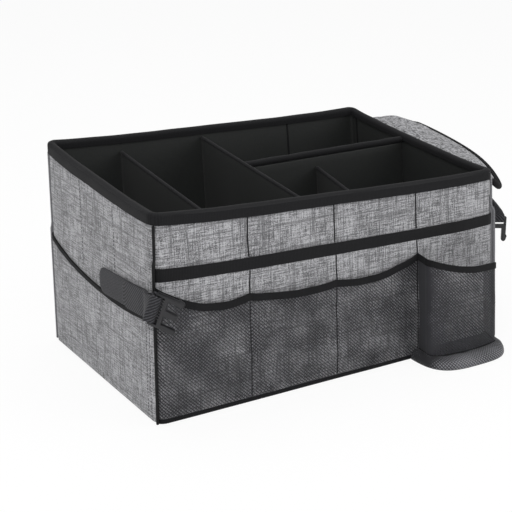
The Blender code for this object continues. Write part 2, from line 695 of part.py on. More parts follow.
def build_right_tab(mats, collection):
    """A short doubled webbing tab under the flap, with its buckle half hanging from the fold."""
    pivot, along, away = tab_frame()
    across = away.cross(along)
    inner_out = 2 * GAP + WEBBING / 2 + GAP
    outer_out = inner_out + WEBBING + 2 * GAP
    top_y = FRONT_Y + TAB_TOP_INSET_Y

    def side(out, turned):
        """From the wall down to the bar, on the inner or the outer side."""
        def sewn(inset, drop):
            """A point of the tab on the wall."""
            return settle((RIGHT_X + out, top_y + inset, HEIGHT - TAB_DROP - drop))

        start, bend = sewn(0.0, 0.0), sewn(0.0, TAB_SEAM)
        on_wall = (sewn(WEBBING_WIDTH / 2, 0.0) - sewn(-WEBBING_WIDTH / 2, 0.0)).normalized()
        end = pivot + turned * BUCKLE_LOOP_RADIUS * away - BUCKLE_LEAD * along
        shares = [step / TAB_STEPS for step in range(TAB_STEPS)]
        return [(start, on_wall)] + [(bend.lerp(end, share), on_wall.lerp(across, share).normalized())
                                     for share in shares]

    loop = loop_stations(pivot, along, away, across)
    ribbon("right_tab", side(inner_out, -1.0) + loop + list(reversed(side(outer_out, 1.0))),
           mats["webbing"], collection)
    buckle_half("right_buckle", pivot, along, away, mats["plastic"], collection)


def flap_root(y):
    """A point of the straight line that the flap turns about, level with the rim's middle."""
    middle, front, back = [settle((FLAP_ROOT_X, place, HEIGHT - FLAP_ROOT_DROP))
                           for place in (FLAP_MIDDLE_Y, FRONT_Y, -FRONT_Y)]
    return middle + (back - front) * (y - FLAP_MIDDLE_Y) / DEPTH


def flap_edge(angle):
    """A point of the flap's outline: a squarish half round that tapers and droops to the front."""
    forward = (1 - math.cos(angle)) / 2
    taper = 1 - FLAP_TAPER * forward ** FLAP_TAPER_POWER
    fullness = math.sin(angle) ** FLAP_SQUARENESS
    y = FLAP_MIDDLE_Y + FLAP_LENGTH / 2 * math.cos(angle)
    z = HEIGHT - FLAP_EDGE_DROP - FLAP_FRONT_DROOP * fullness * forward ** FLAP_DROOP_POWER
    return settle((FLAP_ROOT_X + FLAP_REACH * fullness * taper, y, z))


def flap_inset(edges, insets):
    """The outline moved inwards, in plan, by a distance for each point."""
    upright = Vector((0.0, 0.0, 1.0))
    last = len(edges) - 1
    moved = []
    for index, (edge, inset) in enumerate(zip(edges, insets)):
        tangent = edges[min(index + 1, last)] - edges[max(index - 1, 0)]
        moved.append(edge + upright.cross(tangent).normalized() * inset)
    return moved


def build_flap(mats, collection):
    """The padded grey flap under the right rim and the black piping round its edge."""
    pivot = flap_root(FLAP_MIDDLE_Y)
    span = math.pi - 2 * FLAP_END_ANGLE
    angles = [math.pi - FLAP_END_ANGLE - span * step / FLAP_STEPS for step in range(FLAP_STEPS + 1)]
    swell = [FLAP_PIPING_SWELL * ((1 - math.cos(angle)) / 2) ** FLAP_SWELL_POWER for angle in angles]
    edges = [flap_edge(angle) for angle in angles]
    inner = flap_inset(edges, [FLAP_PIPING_RADIUS * (1 + share) + FLAP_PIPING_GAP for share in swell])
    rows = []
    for row in range(FLAP_ROWS + 1):
        share = row / FLAP_ROWS
        crown = Vector((0.0, 0.0, FLAP_CROWN * 4 * share * (1 - share)))
        line = []
        for edge in inner:
            line.append(flap_root(edge.y).lerp(edge, share) + crown)
        rows.append(line)
    sheet("side_flap", rows, FLAP, mats["oxford"], collection, offset=0.0, pivot=pivot)
    tube("side_flap_piping", edges, FLAP_PIPING_RADIUS, mats["tape"], collection, pivot=pivot, swell=swell)


def make_materials():
    """The finishes of the cloths, tapes, mesh, webbing, boards and buckles."""
    return {
        "oxford": make_material("heathered_grey_oxford", (0.25, 0.25, 0.255), 0.9),
        "black_oxford": make_material("black_oxford", (0.02, 0.02, 0.021), 0.9),
        "lining": make_material("black_lining", (0.011, 0.012, 0.011), 0.75),
        "board": make_material("grey_board", (0.2, 0.2, 0.19), 0.8),
        "tape": make_material("black_binding_tape", (0.022, 0.022, 0.024), 0.8),
        "mesh": make_material("black_mesh", (0.04, 0.04, 0.043), 0.7),
        "webbing": make_material("dark_webbing", (0.04, 0.04, 0.042), 0.8),
        "plastic": make_material("black_acetal", (0.025, 0.025, 0.027), 0.45),
    }


def build():
    """Make the organizer, one object for each piece."""
    clear_scene()
    collection = bpy.data.collections.new("back_seat_organizer")
    bpy.context.scene.collection.children.link(collection)
    mats = make_materials()
    build_walls(mats, collection)
    build_rim(mats, collection)
    build_corner_piping(mats, collection)
    build_dividers(mats, collection)
    build_front_pocket(mats, collection)
    build_side_pockets(mats, collection)
    build_mesh_pockets(mats, collection)
    build_box_pocket(mats, collection)
    build_left_strap(mats, collection)
    build_right_tab(mats, collection)
    build_flap(mats, collection)


build()
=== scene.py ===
"""The dressed model of a back seat organizer: cloth, net, tape, webbing, piping and buckle halves.

Every piece is made in metres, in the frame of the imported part: the origin is the middle of the
underside, the front with the mesh pockets faces -Y, and +Z is up.
"""

import logging
import math
from dataclasses import dataclass
from enum import Enum
from typing import Callable, Sequence, Union

import bmesh
import bpy
from mathutils import Matrix, Vector, noise


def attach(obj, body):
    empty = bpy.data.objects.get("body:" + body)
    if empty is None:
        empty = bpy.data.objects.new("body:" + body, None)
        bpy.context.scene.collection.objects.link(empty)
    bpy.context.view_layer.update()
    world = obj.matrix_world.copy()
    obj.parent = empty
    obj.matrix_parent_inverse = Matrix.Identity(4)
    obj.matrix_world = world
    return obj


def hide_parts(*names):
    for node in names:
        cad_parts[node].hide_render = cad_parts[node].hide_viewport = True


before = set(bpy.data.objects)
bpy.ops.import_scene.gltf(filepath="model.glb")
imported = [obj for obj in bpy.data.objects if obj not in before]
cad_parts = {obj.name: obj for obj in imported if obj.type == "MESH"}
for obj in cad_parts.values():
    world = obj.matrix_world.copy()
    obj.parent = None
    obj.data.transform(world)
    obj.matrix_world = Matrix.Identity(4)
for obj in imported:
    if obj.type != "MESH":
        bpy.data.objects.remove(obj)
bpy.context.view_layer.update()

LOG = logging.getLogger("organizer")
Level = Union[float, Callable[[float], float]]
Plan = tuple[float, float]
UP = Vector((0.0, 0.0, 1.0))
# The laid cloth's UV map in metres, and the attribute that says how much closer a net is drawn: on the box
# pocket's gussets for net folded double together with painted shade, and elsewhere for painted shade alone
CLOTH_UV = "cloth_metres"
NET_DARKENING = "net_darkening"
# Distance between the two plan paths that give a wall's outward way
PROBE = 0.001
# Points closer than this are merged
MERGE = 1e-6
# How far a hem tape laps over the net below its own height
HEM_LAP = 0.0006
# Faces across the webbing, and the radius of its edges
WEBBING_COLUMNS = 6
WEBBING_EDGE = 0.0004
# Radii of the rounded edges of tapes, of hems and of flat seams
TAPE_EDGE = 0.0005
HEM_EDGE = 0.0006
SEAM_EDGE = 0.0002
# Angle between faces past which cloth has an edge
EDGE_ANGLE = math.radians(50)


class Side(Enum):
    """A wall of the box, with the number of quarter turns from the front."""

    FRONT = 0
    RIGHT = 1
    BACK = 2
    LEFT = 3


class Slot(Enum):
    """The record's material slots."""

    GREY_OXFORD = "grey_oxford"
    BLACK_OXFORD = "black_oxford"
    LINING = "lining"
    TAPE = "tape"
    MESH = "mesh"
    WEBBING = "webbing"
    PLASTIC = "plastic"
    BOARD = "board"


class Body(Enum):
    """The part's moving bodies."""

    BOX = "root"
    FLAP = "flap"
    LEFT_BUCKLE = "left_buckle"
    RIGHT_BUCKLE = "right_buckle"


def linear(hex_code: str) -> tuple[float, float, float, float]:
    """Turn an sRGB hex colour into a linear one.

    Args:
        hex_code: Six hex digits, with or without a leading #.

    Returns:
        Linear red, green and blue, and an alpha of 1.
    """
    digits = hex_code.lstrip("#")
    channels = [int(digits[i:i + 2], 16) / 255 for i in (0, 2, 4)]
    red, green, blue = [c / 12.92 if c <= 0.04045 else ((c + 0.055) / 1.055) ** 2.4 for c in channels]
    return red, green, blue, 1.0


def fill(tree: bpy.types.NodeTree, node: bpy.types.Node, inputs: dict) -> None:
    """Fill or link a node's inputs.

    Args:
        tree: The material's node tree.
        node: The node.
        inputs: Values or output sockets by input name or number.
    """
    for key, value in inputs.items():
        if isinstance(value, bpy.types.NodeSocket):
            tree.links.new(value, node.inputs[key])
        else:
            node.inputs[key].default_value = value


def add_node(tree: bpy.types.NodeTree, kind: str, inputs: dict, **settings: object) -> bpy.types.Node:
    """Add a node, set its properties, and fill or link its inputs.

    Args:
        tree: The material's node tree.
        kind: The node's type name.
        inputs: Values or output sockets by input name or number.
        settings: Properties of the node.

    Returns:
        The new node.
    """
    node = tree.nodes.new(kind)
    for key, value in settings.items():
        setattr(node, key, value)
    fill(tree, node, inputs)
    return node


@dataclass(frozen=True)
class ClothFinish:
    """Woven cloth: warp and weft threads with slubs, in two shades, with a fine bump.

    The dark weft and warp are single dark yarns, by their counts per metre along and across the cloth.
    """

    name: str
    slot: Slot
    dark: str
    light: str
    roughness: float
    thread_mm: float = 1.3
    slub_mm: float = 16.0
    contrast: float = 0.16
    patch: float = 0.08
    sheen: float = 0.15
    bump_mm: float = 0.12
    yarns: float = 0.0
    patches_per_metre: float = 22.0
    dark_weft: tuple[float, float, float] = (9.0, 430.0, 1.0)
    dark_warp: tuple[float, float, float] = (430.0, 14.0, 1.0)

    def make(self) -> bpy.types.Material:
        """Make the material.

        Returns:
            The new material.
        """
        material, tree, shader = new_material(self.name)
        place = add_node(tree, "ShaderNodeUVMap", {}, uv_map=CLOTH_UV).outputs[0]
        thread, slub = 1000 / self.thread_mm, 1000 / self.slub_mm
        threads = []
        for scale in ((slub, thread, 1.0), (thread, slub, 1.0)):
            stretched = add_node(tree, "ShaderNodeVectorMath", {0: place, 1: scale}, operation="MULTIPLY")
            threads.append(add_node(tree, "ShaderNodeTexNoise", {
                "Vector": stretched.outputs[0], "Scale": 1.0, "Detail": 2.0}).outputs["Fac"])
        grain = add_node(tree, "ShaderNodeTexNoise", {
            "Vector": place, "Scale": thread, "Detail": 1.0}).outputs["Fac"]
        crossed = add_node(tree, "ShaderNodeMath", {0: threads[0], 1: threads[1]}, operation="ADD")
        weave = add_node(tree, "ShaderNodeMath", {0: crossed.outputs[0], 1: grain}, operation="ADD")
        cloud = add_node(tree, "ShaderNodeTexNoise", {
            "Vector": place, "Scale": self.patches_per_metre, "Detail": 2.0}).outputs["Fac"]
        shade = add_node(tree, "ShaderNodeMath", {
            0: cloud, 1: self.patch * 3.0, 2: weave.outputs[0]}, operation="MULTIPLY_ADD")
        middle, half = 1.5 + self.patch * 1.5, self.contrast * 1.5
        paleness = add_node(tree, "ShaderNodeMapRange", {
            "Value": shade.outputs[0], "From Min": middle - half, "From Max": middle + half})
        for scale in (self.dark_weft, self.dark_warp):
            drawn = add_node(tree, "ShaderNodeVectorMath", {0: place, 1: scale}, operation="MULTIPLY")
            yarn = add_node(tree, "ShaderNodeTexNoise", {
                "Vector": drawn.outputs[0], "Scale": 1.0, "Detail": 0.0})
            keep = add_node(tree, "ShaderNodeMapRange", {
                "Value": yarn.outputs["Fac"], "From Min": 0.6, "From Max": 0.72, "To Min": 1.0,
                "To Max": 1.0 - self.yarns})
            paleness = add_node(tree, "ShaderNodeMath", {
                0: paleness.outputs[0], 1: keep.outputs[0]}, operation="MULTIPLY")
        colour = add_node(tree, "ShaderNodeMix", {
            0: paleness.outputs[0], 6: linear(self.dark), 7: linear(self.light)}, data_type="RGBA")
        bump = add_node(tree, "ShaderNodeBump", {
            "Height": weave.outputs[0], "Strength": 1.0, "Distance": self.bump_mm / 1000})
        fill(tree, shader, {"Base Color": colour.outputs[2], "Normal": bump.outputs[0],
                            "Roughness": self.roughness, "Sheen Weight": self.sheen})
        return material


@dataclass(frozen=True)
class TapeFinish:
    """Woven tape, piping cloth and webbing: fine slanted or straight ribs."""

    name: str
    slot: Slot
    dark: str
    light: str
    roughness: float
    rib_mm: float = 1.6
    slant: float = 0.0
    bump_mm: float = 0.15
    sheen: float = 0.2
    gloss: float = 0.25

    def make(self) -> bpy.types.Material:
        """Make the material.

        Returns:
            The new material.
        """
        material, tree, shader = new_material(self.name)
        place = add_node(tree, "ShaderNodeUVMap", {}, uv_map=CLOTH_UV).outputs[0]
        turn = 2000 * math.pi / self.rib_mm
        along = add_node(tree, "ShaderNodeVectorMath", {0: place, 1: (turn, self.slant * turn, 0.0)},
                         operation="DOT_PRODUCT")
        wave = add_node(tree, "ShaderNodeMath", {0: along.outputs["Value"]}, operation="SINE")
        rib = add_node(tree, "ShaderNodeMapRange", {"Value": wave.outputs[0], "From Min": -1.0})
        grain = add_node(tree, "ShaderNodeTexNoise", {"Vector": place, "Scale": 700.0, "Detail": 2.0})
        mixed = add_node(tree, "ShaderNodeMath", {
            0: rib.outputs[0], 1: grain.outputs["Fac"]}, operation="MULTIPLY")
        colour = add_node(tree, "ShaderNodeMix", {
            0: mixed.outputs[0], 6: linear(self.dark), 7: linear(self.light)}, data_type="RGBA")
        bump = add_node(tree, "ShaderNodeBump", {
            "Height": mixed.outputs[0], "Strength": 1.0, "Distance": self.bump_mm / 1000})
        fill(tree, shader, {"Base Color": colour.outputs[2], "Normal": bump.outputs[0],
                            "Roughness": self.roughness, "Specular IOR Level": self.gloss,
                            "Sheen Weight": self.sheen})
        return material


@dataclass(frozen=True)
class NetFinish:
    """Polyester net: two runs of slanted threads, open between them or laid on a backing cloth."""

    name: str
    slot: Slot
    thread: str
    highlight: str
    backing: str = ""
    pitch_mm: float = 3.7
    cover: tuple[float, float] = (0.52, 0.14)
    uneven: float = 0.75
    roughness: float = 0.6
    gloss: float = 0.3
    sheen: float = 0.1
    # How much closer the net is drawn where the darkening attribute says so: partly real doubled net, partly
    # painted shade
    darkening_cover: float = 0.35
    patches_per_metre: float = 26.0

    def make(self) -> bpy.types.Material:
        """Make the material. Without a backing the holes are real gaps in its alpha.

        Returns:
            The new material.
        """
        material, tree, shader = new_material(self.name)
        place = add_node(tree, "ShaderNodeUVMap", {}, uv_map=CLOTH_UV).outputs[0]
        turn = 1000 * math.pi / self.pitch_mm
        cloud = add_node(tree, "ShaderNodeTexNoise", {
            "Vector": place, "Scale": self.patches_per_metre, "Detail": 3.0})
        stretch = add_node(tree, "ShaderNodeMath", {
            0: cloud.outputs["Fac"], 1: -self.uneven, 2: self.uneven / 2}, operation="MULTIPLY_ADD")
        # The darkening attribute draws the net closer and darker, which is painted shade wherever the net is
        # not really doubled
        darkening_attribute = add_node(tree, "ShaderNodeAttribute", {}, attribute_name=NET_DARKENING)
        closer = add_node(tree, "ShaderNodeMath", {
            0: darkening_attribute.outputs["Fac"], 1: self.darkening_cover, 2: stretch.outputs[0]}, operation="MULTIPLY_ADD")
        open_to = []
        for slope, cover in ((1.0, self.cover[0]), (-1.0, self.cover[1])):
            along = add_node(tree, "ShaderNodeVectorMath", {0: place, 1: (turn, slope * turn, 0.0)},
                             operation="DOT_PRODUCT")
            wave = add_node(tree, "ShaderNodeMath", {0: along.outputs["Value"]}, operation="SINE")
            height = add_node(tree, "ShaderNodeMath", {0: wave.outputs[0]}, operation="ABSOLUTE")
            limit = add_node(tree, "ShaderNodeMath", {0: closer.outputs[0], 1: cover}, operation="ADD")
            open_to.append(add_node(tree, "ShaderNodeMath", {0: height.outputs[0], 1: limit.outputs[0]},
                                    operation="GREATER_THAN").outputs[0])
        hole = add_node(tree, "ShaderNodeMath", {0: open_to[0], 1: open_to[1]}, operation="MULTIPLY")
        colour = add_node(tree, "ShaderNodeMix", {
            0: cloud.outputs["Fac"], 6: linear(self.thread), 7: linear(self.highlight)}, data_type="RGBA")
        if self.backing:
            colour = add_node(tree, "ShaderNodeMix", {
                0: hole.outputs[0], 6: colour.outputs[2], 7: linear(self.backing)}, data_type="RGBA")
        else:
            solid = add_node(tree, "ShaderNodeMath", {0: 1.0, 1: hole.outputs[0]}, operation="SUBTRACT")
            fill(tree, shader, {"Alpha": solid.outputs[0]})
        fill(tree, shader, {"Base Color": colour.outputs[2], "Roughness": self.roughness,
                            "Specular IOR Level": self.gloss, "Sheen Weight": self.sheen})
        return material


@dataclass(frozen=True)
class MouldedFinish:
    """Moulded plastic and pressed board: an even colour with a fine speckle and a slight bump."""

    name: str
    slot: Slot
    base: str
    fleck: str
    roughness: float
    fleck_mm: float = 0.8
    bump_mm: float = 0.02

    def make(self) -> bpy.types.Material:
        """Make the material.

        Returns:
            The new material.
        """
        material, tree, shader = new_material(self.name)
        place = add_node(tree, "ShaderNodeTexCoord", {}).outputs["Object"]
        grain = add_node(tree, "ShaderNodeTexNoise", {
            "Vector": place, "Scale": 1000 / self.fleck_mm, "Detail": 3.0})
        colour = add_node(tree, "ShaderNodeMix", {
            0: grain.outputs["Fac"], 6: linear(self.base), 7: linear(self.fleck)}, data_type="RGBA")
        bump = add_node(tree, "ShaderNodeBump", {
            "Height": grain.outputs["Fac"], "Strength": 1.0, "Distance": self.bump_mm / 1000})
        fill(tree, shader, {"Base Color": colour.outputs[2], "Normal": bump.outputs[0],
                            "Roughness": self.roughness})
        return material


Finish = Union[ClothFinish, TapeFinish, NetFinish, MouldedFinish]


def new_material(name: str) -> tuple[bpy.types.Material, bpy.types.NodeTree, bpy.types.Node]:
    """Start a material that uses nodes.

    Args:
        name: The material's name.

    Returns:
        The material, its node tree and its Principled shader.
    """
    material = bpy.data.materials.new(name)
    material.use_nodes = True
    tree = material.node_tree
    return material, tree, tree.nodes["Principled BSDF"]


# Polyester oxford of mixed pale and dark yarns: matt, with a crossed, slubby grain
GREY_OXFORD = ClothFinish("heathered_grey_oxford", Slot.GREY_OXFORD, "#58585a", "#b0b0b3", 0.92,
                          contrast=0.15, patch=0.14, yarns=0.55)
# The flap's padded cloth: the same yarns in a looser weave, which shows as coarse specks
FLAP_OXFORD = ClothFinish("heathered_grey_flap_cloth", Slot.GREY_OXFORD, "#2e2e30", "#a8a8ab", 0.92,
                          thread_mm=2.2, slub_mm=7.0, contrast=0.17, patch=0.05)
# The same cloth in black, under the base
BLACK_OXFORD = ClothFinish("black_oxford", Slot.BLACK_OXFORD, "#141415", "#2c2c2e", 0.9, contrast=0.3)
# Black nylon lining, plain woven: almost even, a little smoother than the outside
LINING_NYLON = ClothFinish("black_nylon_lining", Slot.LINING, "#151716", "#202221", 0.62, thread_mm=0.9,
                           slub_mm=6.0, contrast=0.3, patch=0.15, bump_mm=0.05, sheen=0.05)
# Ribbed polyester binding tape: matt black with fine ribs across it
BINDING_TAPE = TapeFinish("black_binding_tape", Slot.TAPE, "#09090b", "#1b1b1e", 0.85, sheen=0.04)
# The narrow hem tape of the pockets and seams: a denser, blacker weave
HEM_TAPE = TapeFinish("black_hem_tape", Slot.TAPE, "#08080a", "#17171a", 0.85, sheen=0.02)
# Black piping cloth, drawn tight over its cord
BLACK_PIPING = TapeFinish("black_piping_cloth", Slot.TAPE, "#060607", "#121214", 0.7, sheen=0.0)
# Grey piping cloth down the back and right corners, whose edges show no black line in the photograph
GREY_PIPING = TapeFinish("grey_piping_cloth", Slot.TAPE, "#5c5c5f", "#9a9a9d", 0.9, sheen=0.1)
# Thick twill webbing: slanted ribs, paler than the tape and drawn coarse enough to show
TWILL_WEBBING = TapeFinish("dark_twill_webbing", Slot.WEBBING, "#141416", "#58585d", 0.85, rib_mm=3.6,
                           slant=1.0, bump_mm=0.3, sheen=0.08)
# Warp-knitted polyester net, black: drawn with slightly coarse holes so that they show
POCKET_NET = NetFinish("black_polyester_net", Slot.MESH, "#151518", "#424247", uneven=0.9)
# The same net laid on grey cloth, on the box pocket's foot
FOOT_NET = NetFinish("net_on_grey_foot_cloth", Slot.MESH, "#19191b", "#323236", backing="#77777b",
                     pitch_mm=3.3, cover=(0.55, 0.36), uneven=1.1)
# Injection-moulded acetal: smooth, dark, with a soft gloss
ACETAL = MouldedFinish("moulded_black_acetal", Slot.PLASTIC, "#101013", "#19191c", 0.34)
# Grey pressed board, seen only if a seam opens
PRESSED_BOARD = MouldedFinish("grey_pressed_board", Slot.BOARD, "#74746f", "#8f8f88", 0.85, fleck_mm=2.0,
                              bump_mm=0.1)
# Black polyester sewing thread
SEWING_THREAD = MouldedFinish("black_sewing_thread", Slot.TAPE, "#151517", "#2a2a2d", 0.7, fleck_mm=0.6,
                              bump_mm=0.05)


class Workshop:
    """Makes each finish once and dresses the pieces in them."""

    def __init__(self) -> None:
        """Start with no finish made."""
        self.made: dict[str, bpy.types.Material] = {}

    def finish(self, recipe: Finish) -> bpy.types.Material:
        """Get a finish's material, made on first use.

        Args:
            recipe: The finish.

        Returns:
            Its material.
        """
        if recipe.name not in self.made:
            self.made[recipe.name] = recipe.make()
        return self.made[recipe.name]

    def place(self, obj: bpy.types.Object, recipe: Finish, *nodes: str, body: Body = Body.BOX) -> None:
        """Dress a piece, put it on its body and let it stand for its CAD nodes.

        Args:
            obj: The piece.
            recipe: Its finish.
            nodes: The CAD nodes that it stands for.
            body: The body that it rides on.
        """
        obj.data.materials.clear()
        obj.data.materials.append(self.finish(recipe))
        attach(obj, body.value)
        if nodes:
            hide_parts(*nodes)
        LOG.info("%s on %s", obj.name, body.value)


@dataclass(frozen=True)
class BoxForm:
    """The box's sizes and how far it stands out of square, as in the part's source.

    The spreads, leans, drops and rises move the corners of the soft box, each with its height, and the
    powers keep a spread near the right end. The slack and ripples lift the cloth off its boards.
    """

    width: float = 0.400
    depth: float = 0.243
    height: float = 0.213
    gap: float = 0.0003
    cloth: float = 0.0012
    board: float = 0.0025
    lining: float = 0.0010
    base_board: float = 0.0030
    inside_radius: float = 0.004
    base_spread: float = 0.0105
    rim_lean: float = 0.0084
    front_right_drop: float = 0.0189
    front_rim_spread: float = 0.0045
    front_rim_power: float = 2.5
    front_corner_spread: float = 0.0045
    front_corner_power: float = 8.0
    back_right_lean: float = 0.0030
    back_left_rise: float = 0.0137
    rim_sag: float = 0.0035
    rim_tape: float = 0.0014
    rim_tape_drop: float = 0.0115
    tape_lap: float = 0.0026
    flap_clear: float = 0.022
    corner_steps: int = 6
    slack: float = 0.0009
    broad_ripple: float = 0.0008
    fine_ripple: float = 0.00035
    front_slack: float = 1.6

    @property
    def wall(self) -> float:
        """Thickness of a wall's three layers."""
        return self.cloth + self.board + self.lining + 2 * self.gap

    @property
    def outside_radius(self) -> float:
        """Radius of a corner outside the cloth."""
        return self.inside_radius + self.wall

    @property
    def wall_top(self) -> float:
        """Height at which the wall's layers end inside the rim tape."""
        return self.height - self.rim_tape - self.tape_lap

    @property
    def floor(self) -> float:
        """Height of the lining on the base."""
        return self.cloth + self.base_board + 3 * self.gap + self.lining

    @property
    def front_y(self) -> float:
        """The front cloth's outside."""
        return -self.depth / 2

    @property
    def left_x(self) -> float:
        """The left cloth's outside."""
        return -self.width / 2

    @property
    def right_x(self) -> float:
        """The right cloth's outside."""
        return self.width / 2

    @staticmethod
    def bump(share: float) -> float:
        """Return 0 at both ends of a wall and 1 along its middle."""
        share = min(max(share, 0.0), 1.0)
        return 1.0 - (2.0 * share - 1.0) ** 4

    def settle(self, x: float, y: float, z: float) -> Vector:
        """Return where a point of the square box lies once the soft box stands as it does.

        Args:
            x: Its place across the box.
            y: Its place from front to back.
            z: Its height.

        Returns:
            The settled point.
        """
        across = (x - self.left_x) / self.width
        back = (y - self.front_y) / self.depth
        up = z / self.height
        lean = across * ((1.0 - up) * self.base_spread - up * (self.rim_lean + back * self.back_right_lean))
        near = min(max(across, 0.0), 1.0)
        lean += (1.0 - back) * (up * self.front_rim_spread * near ** self.front_rim_power
                                + self.front_corner_spread * near ** self.front_corner_power)
        twist = (1.0 - across) * back * self.back_left_rise - across * (1.0 - back) * self.front_right_drop
        along, deep = self.bump(across), self.bump(back)
        sag = self.rim_sag * (along + deep - along * deep)
        return Vector((x + lean, y, z + up * (twist - sag)))

    def wall_path(self, side: Side, out: float, steps: int) -> list[Plan]:
        """Plan points of one wall, from mid corner to mid corner.

        Args:
            side: The wall.
            out: Distance outside the cloth.
            steps: Steps along the straight stretch.

        Returns:
            The plan points, left to right as seen from outside.
        """
        turned = side.value % 2 == 1
        half_length = (self.depth if turned else self.width) / 2
        distance = (self.width if turned else self.depth) / 2
        radius = self.outside_radius + out
        reach = half_length - self.outside_radius
        deep = -distance + self.outside_radius
        quarter = math.pi / 4
        arc = [quarter + quarter * step / self.corner_steps for step in range(self.corner_steps + 1)]
        points = [(-reach - radius * math.cos(angle), deep - radius * math.sin(angle)) for angle in arc]
        points += [(-reach + 2 * reach * step / steps, deep - radius) for step in range(1, steps)]
        points += [(-x, y) for x, y in reversed(points[:self.corner_steps + 1])]
        rotation = Matrix.Rotation(side.value * math.pi / 2, 2)
        return [tuple(rotation @ Vector(point)) for point in points]

    def ripple(self, side: Side, share: float, height: float) -> float:
        """Return how far a wall's cloth stands off its board at a place.

        Args:
            side: The wall.
            share: Share of the way along it.
            height: Height of the place.

        Returns:
            The distance, never less than 0.
        """
        place = Vector((share * 3.4, height * 17.0, side.value * 7.3))
        broad = noise.noise(place)
        fine = noise.noise(place * 3.1 + Vector((5.0, 1.0, 9.0)))
        creased = noise.noise(Vector((share * 5.0 + 2.0, height * 70.0, side.value * 3.1)))
        edge = min(1.0, 8 * height / self.height) * min(1.0, 10 * share, 10 * (1 - share))
        loose = self.front_slack if side is Side.FRONT else 1.0
        if side is Side.RIGHT:
            loose *= min(max((self.height - self.flap_clear - height) / self.flap_clear, 0.0), 1.0)
        return max(0.0, loose * edge * (self.slack + self.broad_ripple * broad
                                        + self.fine_ripple * (fine + creased)))


@dataclass
class SheetRecord:
    """What a laid sheet measures flat."""

    width: float
    length: float
    area: float


def path_shares(points: Sequence[Plan]) -> list[float]:
    """Measure how far along a path each plan point lies.

    Args:
        points: The path.

    Returns:
        Each point's share of the way.
    """
    lengths = [0.0]
    for start, end in zip(points, points[1:]):
        lengths.append(lengths[-1] + math.dist(start, end))
    return [length / lengths[-1] for length in lengths]


def path_lengths(points: Sequence[Vector]) -> list[float]:
    """Measure how far along a path each point lies.

    Args:
        points: The path.

    Returns:
        Each point's distance from the start.
    """
    lengths = [0.0]
    for start, end in zip(points, points[1:]):
        lengths.append(lengths[-1] + (end - start).length)
    return lengths


def step_out(start: Plan, end: Plan, share: float) -> Plan:
    """Return the plan point at a share of the way from start to end, or past it."""
    return start[0] + (end[0] - start[0]) * share, start[1] + (end[1] - start[1]) * share


def hanging(share: float) -> float:
    """Return 0 at both ends of a hanging edge and 1 at its middle."""
    return 4 * share * (1 - share)


def hem_heights(height: float) -> list[float]:
    """Return the heights of a hem tape's rows, from its top edge at 0 downwards."""
    return [-height - HEM_LAP, -height * 0.66, -height * 0.33, 0.0]


def bake_modifiers(obj: bpy.types.Object) -> None:
    """Apply an object's modifiers and mark its sharp edges.

    Args:
        obj: The object.
    """
    graph = bpy.context.evaluated_depsgraph_get()
    mesh = bpy.data.meshes.new_from_object(obj.evaluated_get(graph), depsgraph=graph)
    obj.modifiers.clear()
    obj.data = mesh
    mesh.name = obj.name
    mesh.shade_smooth()
    mesh.set_sharp_from_angle(angle=EDGE_ANGLE)


def link_mesh(name: str, bm: bmesh.types.BMesh) -> bpy.types.Object:
    """Turn a bmesh into a linked object at the origin and free it.

    Args:
        name: The object's name.
        bm: The bmesh, which is freed.

    Returns:
        The new object.
    """
    mesh = bpy.data.meshes.new(name)
    bm.to_mesh(mesh)
    bm.free()
    obj = bpy.data.objects.new(name, mesh)
    bpy.context.scene.collection.objects.link(obj)
    return obj


def lay_grid(rows: Sequence[Sequence[Vector]], flat: Callable[[int, int], Plan]) -> bmesh.types.BMesh:
    """Lay a grid of faces over rows of points, with a UV map in metres.

    Args:
        rows: Rows of points.
        flat: Gives a point's place on the flat cloth, by its row and column.

    Returns:
        The new bmesh.
    """
    bm = bmesh.new()
    last_row, last_column = len(rows) - 1, len(rows[0]) - 1
    bmesh.ops.create_grid(bm, x_segments=last_column, y_segments=last_row, size=0.5)
    uv_layer = bm.loops.layers.uv.new(CLOTH_UV)
    places = {}
    for vert in bm.verts:
        column = round((vert.co.x + 0.5) * last_column)
        row = round((vert.co.y + 0.5) * last_row)
        vert.co = rows[row][column]
        places[vert.index] = flat(row, column)
    for face in bm.faces:
        for loop in face.loops:
            loop[uv_layer].uv = places[loop.vert.index]
    return bm


def lay_cloth(name: str, rows: Sequence[Sequence[Vector]], thickness: float, offset: float = 1.0,
              closed: bool = False, round_edge: float = 0.0) -> bpy.types.Object:
    """Lay cloth over rows of points, with a UV map in metres, and thicken it.

    Args:
        name: The piece's name.
        rows: Rows of points, bottom row first, each left to right as seen from outside.
        thickness: Thickness of the cloth.
        offset: 1 to thicken outwards, 0 both ways and -1 inwards.
        closed: Whether the last column meets the first.
        round_edge: Radius of the rounded cut edges, or 0.

    Returns:
        The new object.
    """
    across = path_lengths(rows[(len(rows) - 1) // 2])
    ups = [path_lengths(column) for column in zip(*rows)]
    bm = lay_grid(rows, lambda row, column: (across[column], ups[column][row]))
    area = sum(face.calc_area() for face in bm.faces)
    if closed:
        bmesh.ops.remove_doubles(bm, verts=bm.verts, dist=MERGE)
    obj = link_mesh(name, bm)
    solidify = obj.modifiers.new("thickness", "SOLIDIFY")
    solidify.thickness = thickness
    solidify.offset = offset
    solidify.use_even_offset = True
    if round_edge:
        bevel = obj.modifiers.new("edges", "BEVEL")
        bevel.width = round_edge
        bevel.segments = 3
        bevel.limit_method = "ANGLE"
        bevel.angle_limit = EDGE_ANGLE
    bake_modifiers(obj)
    return obj


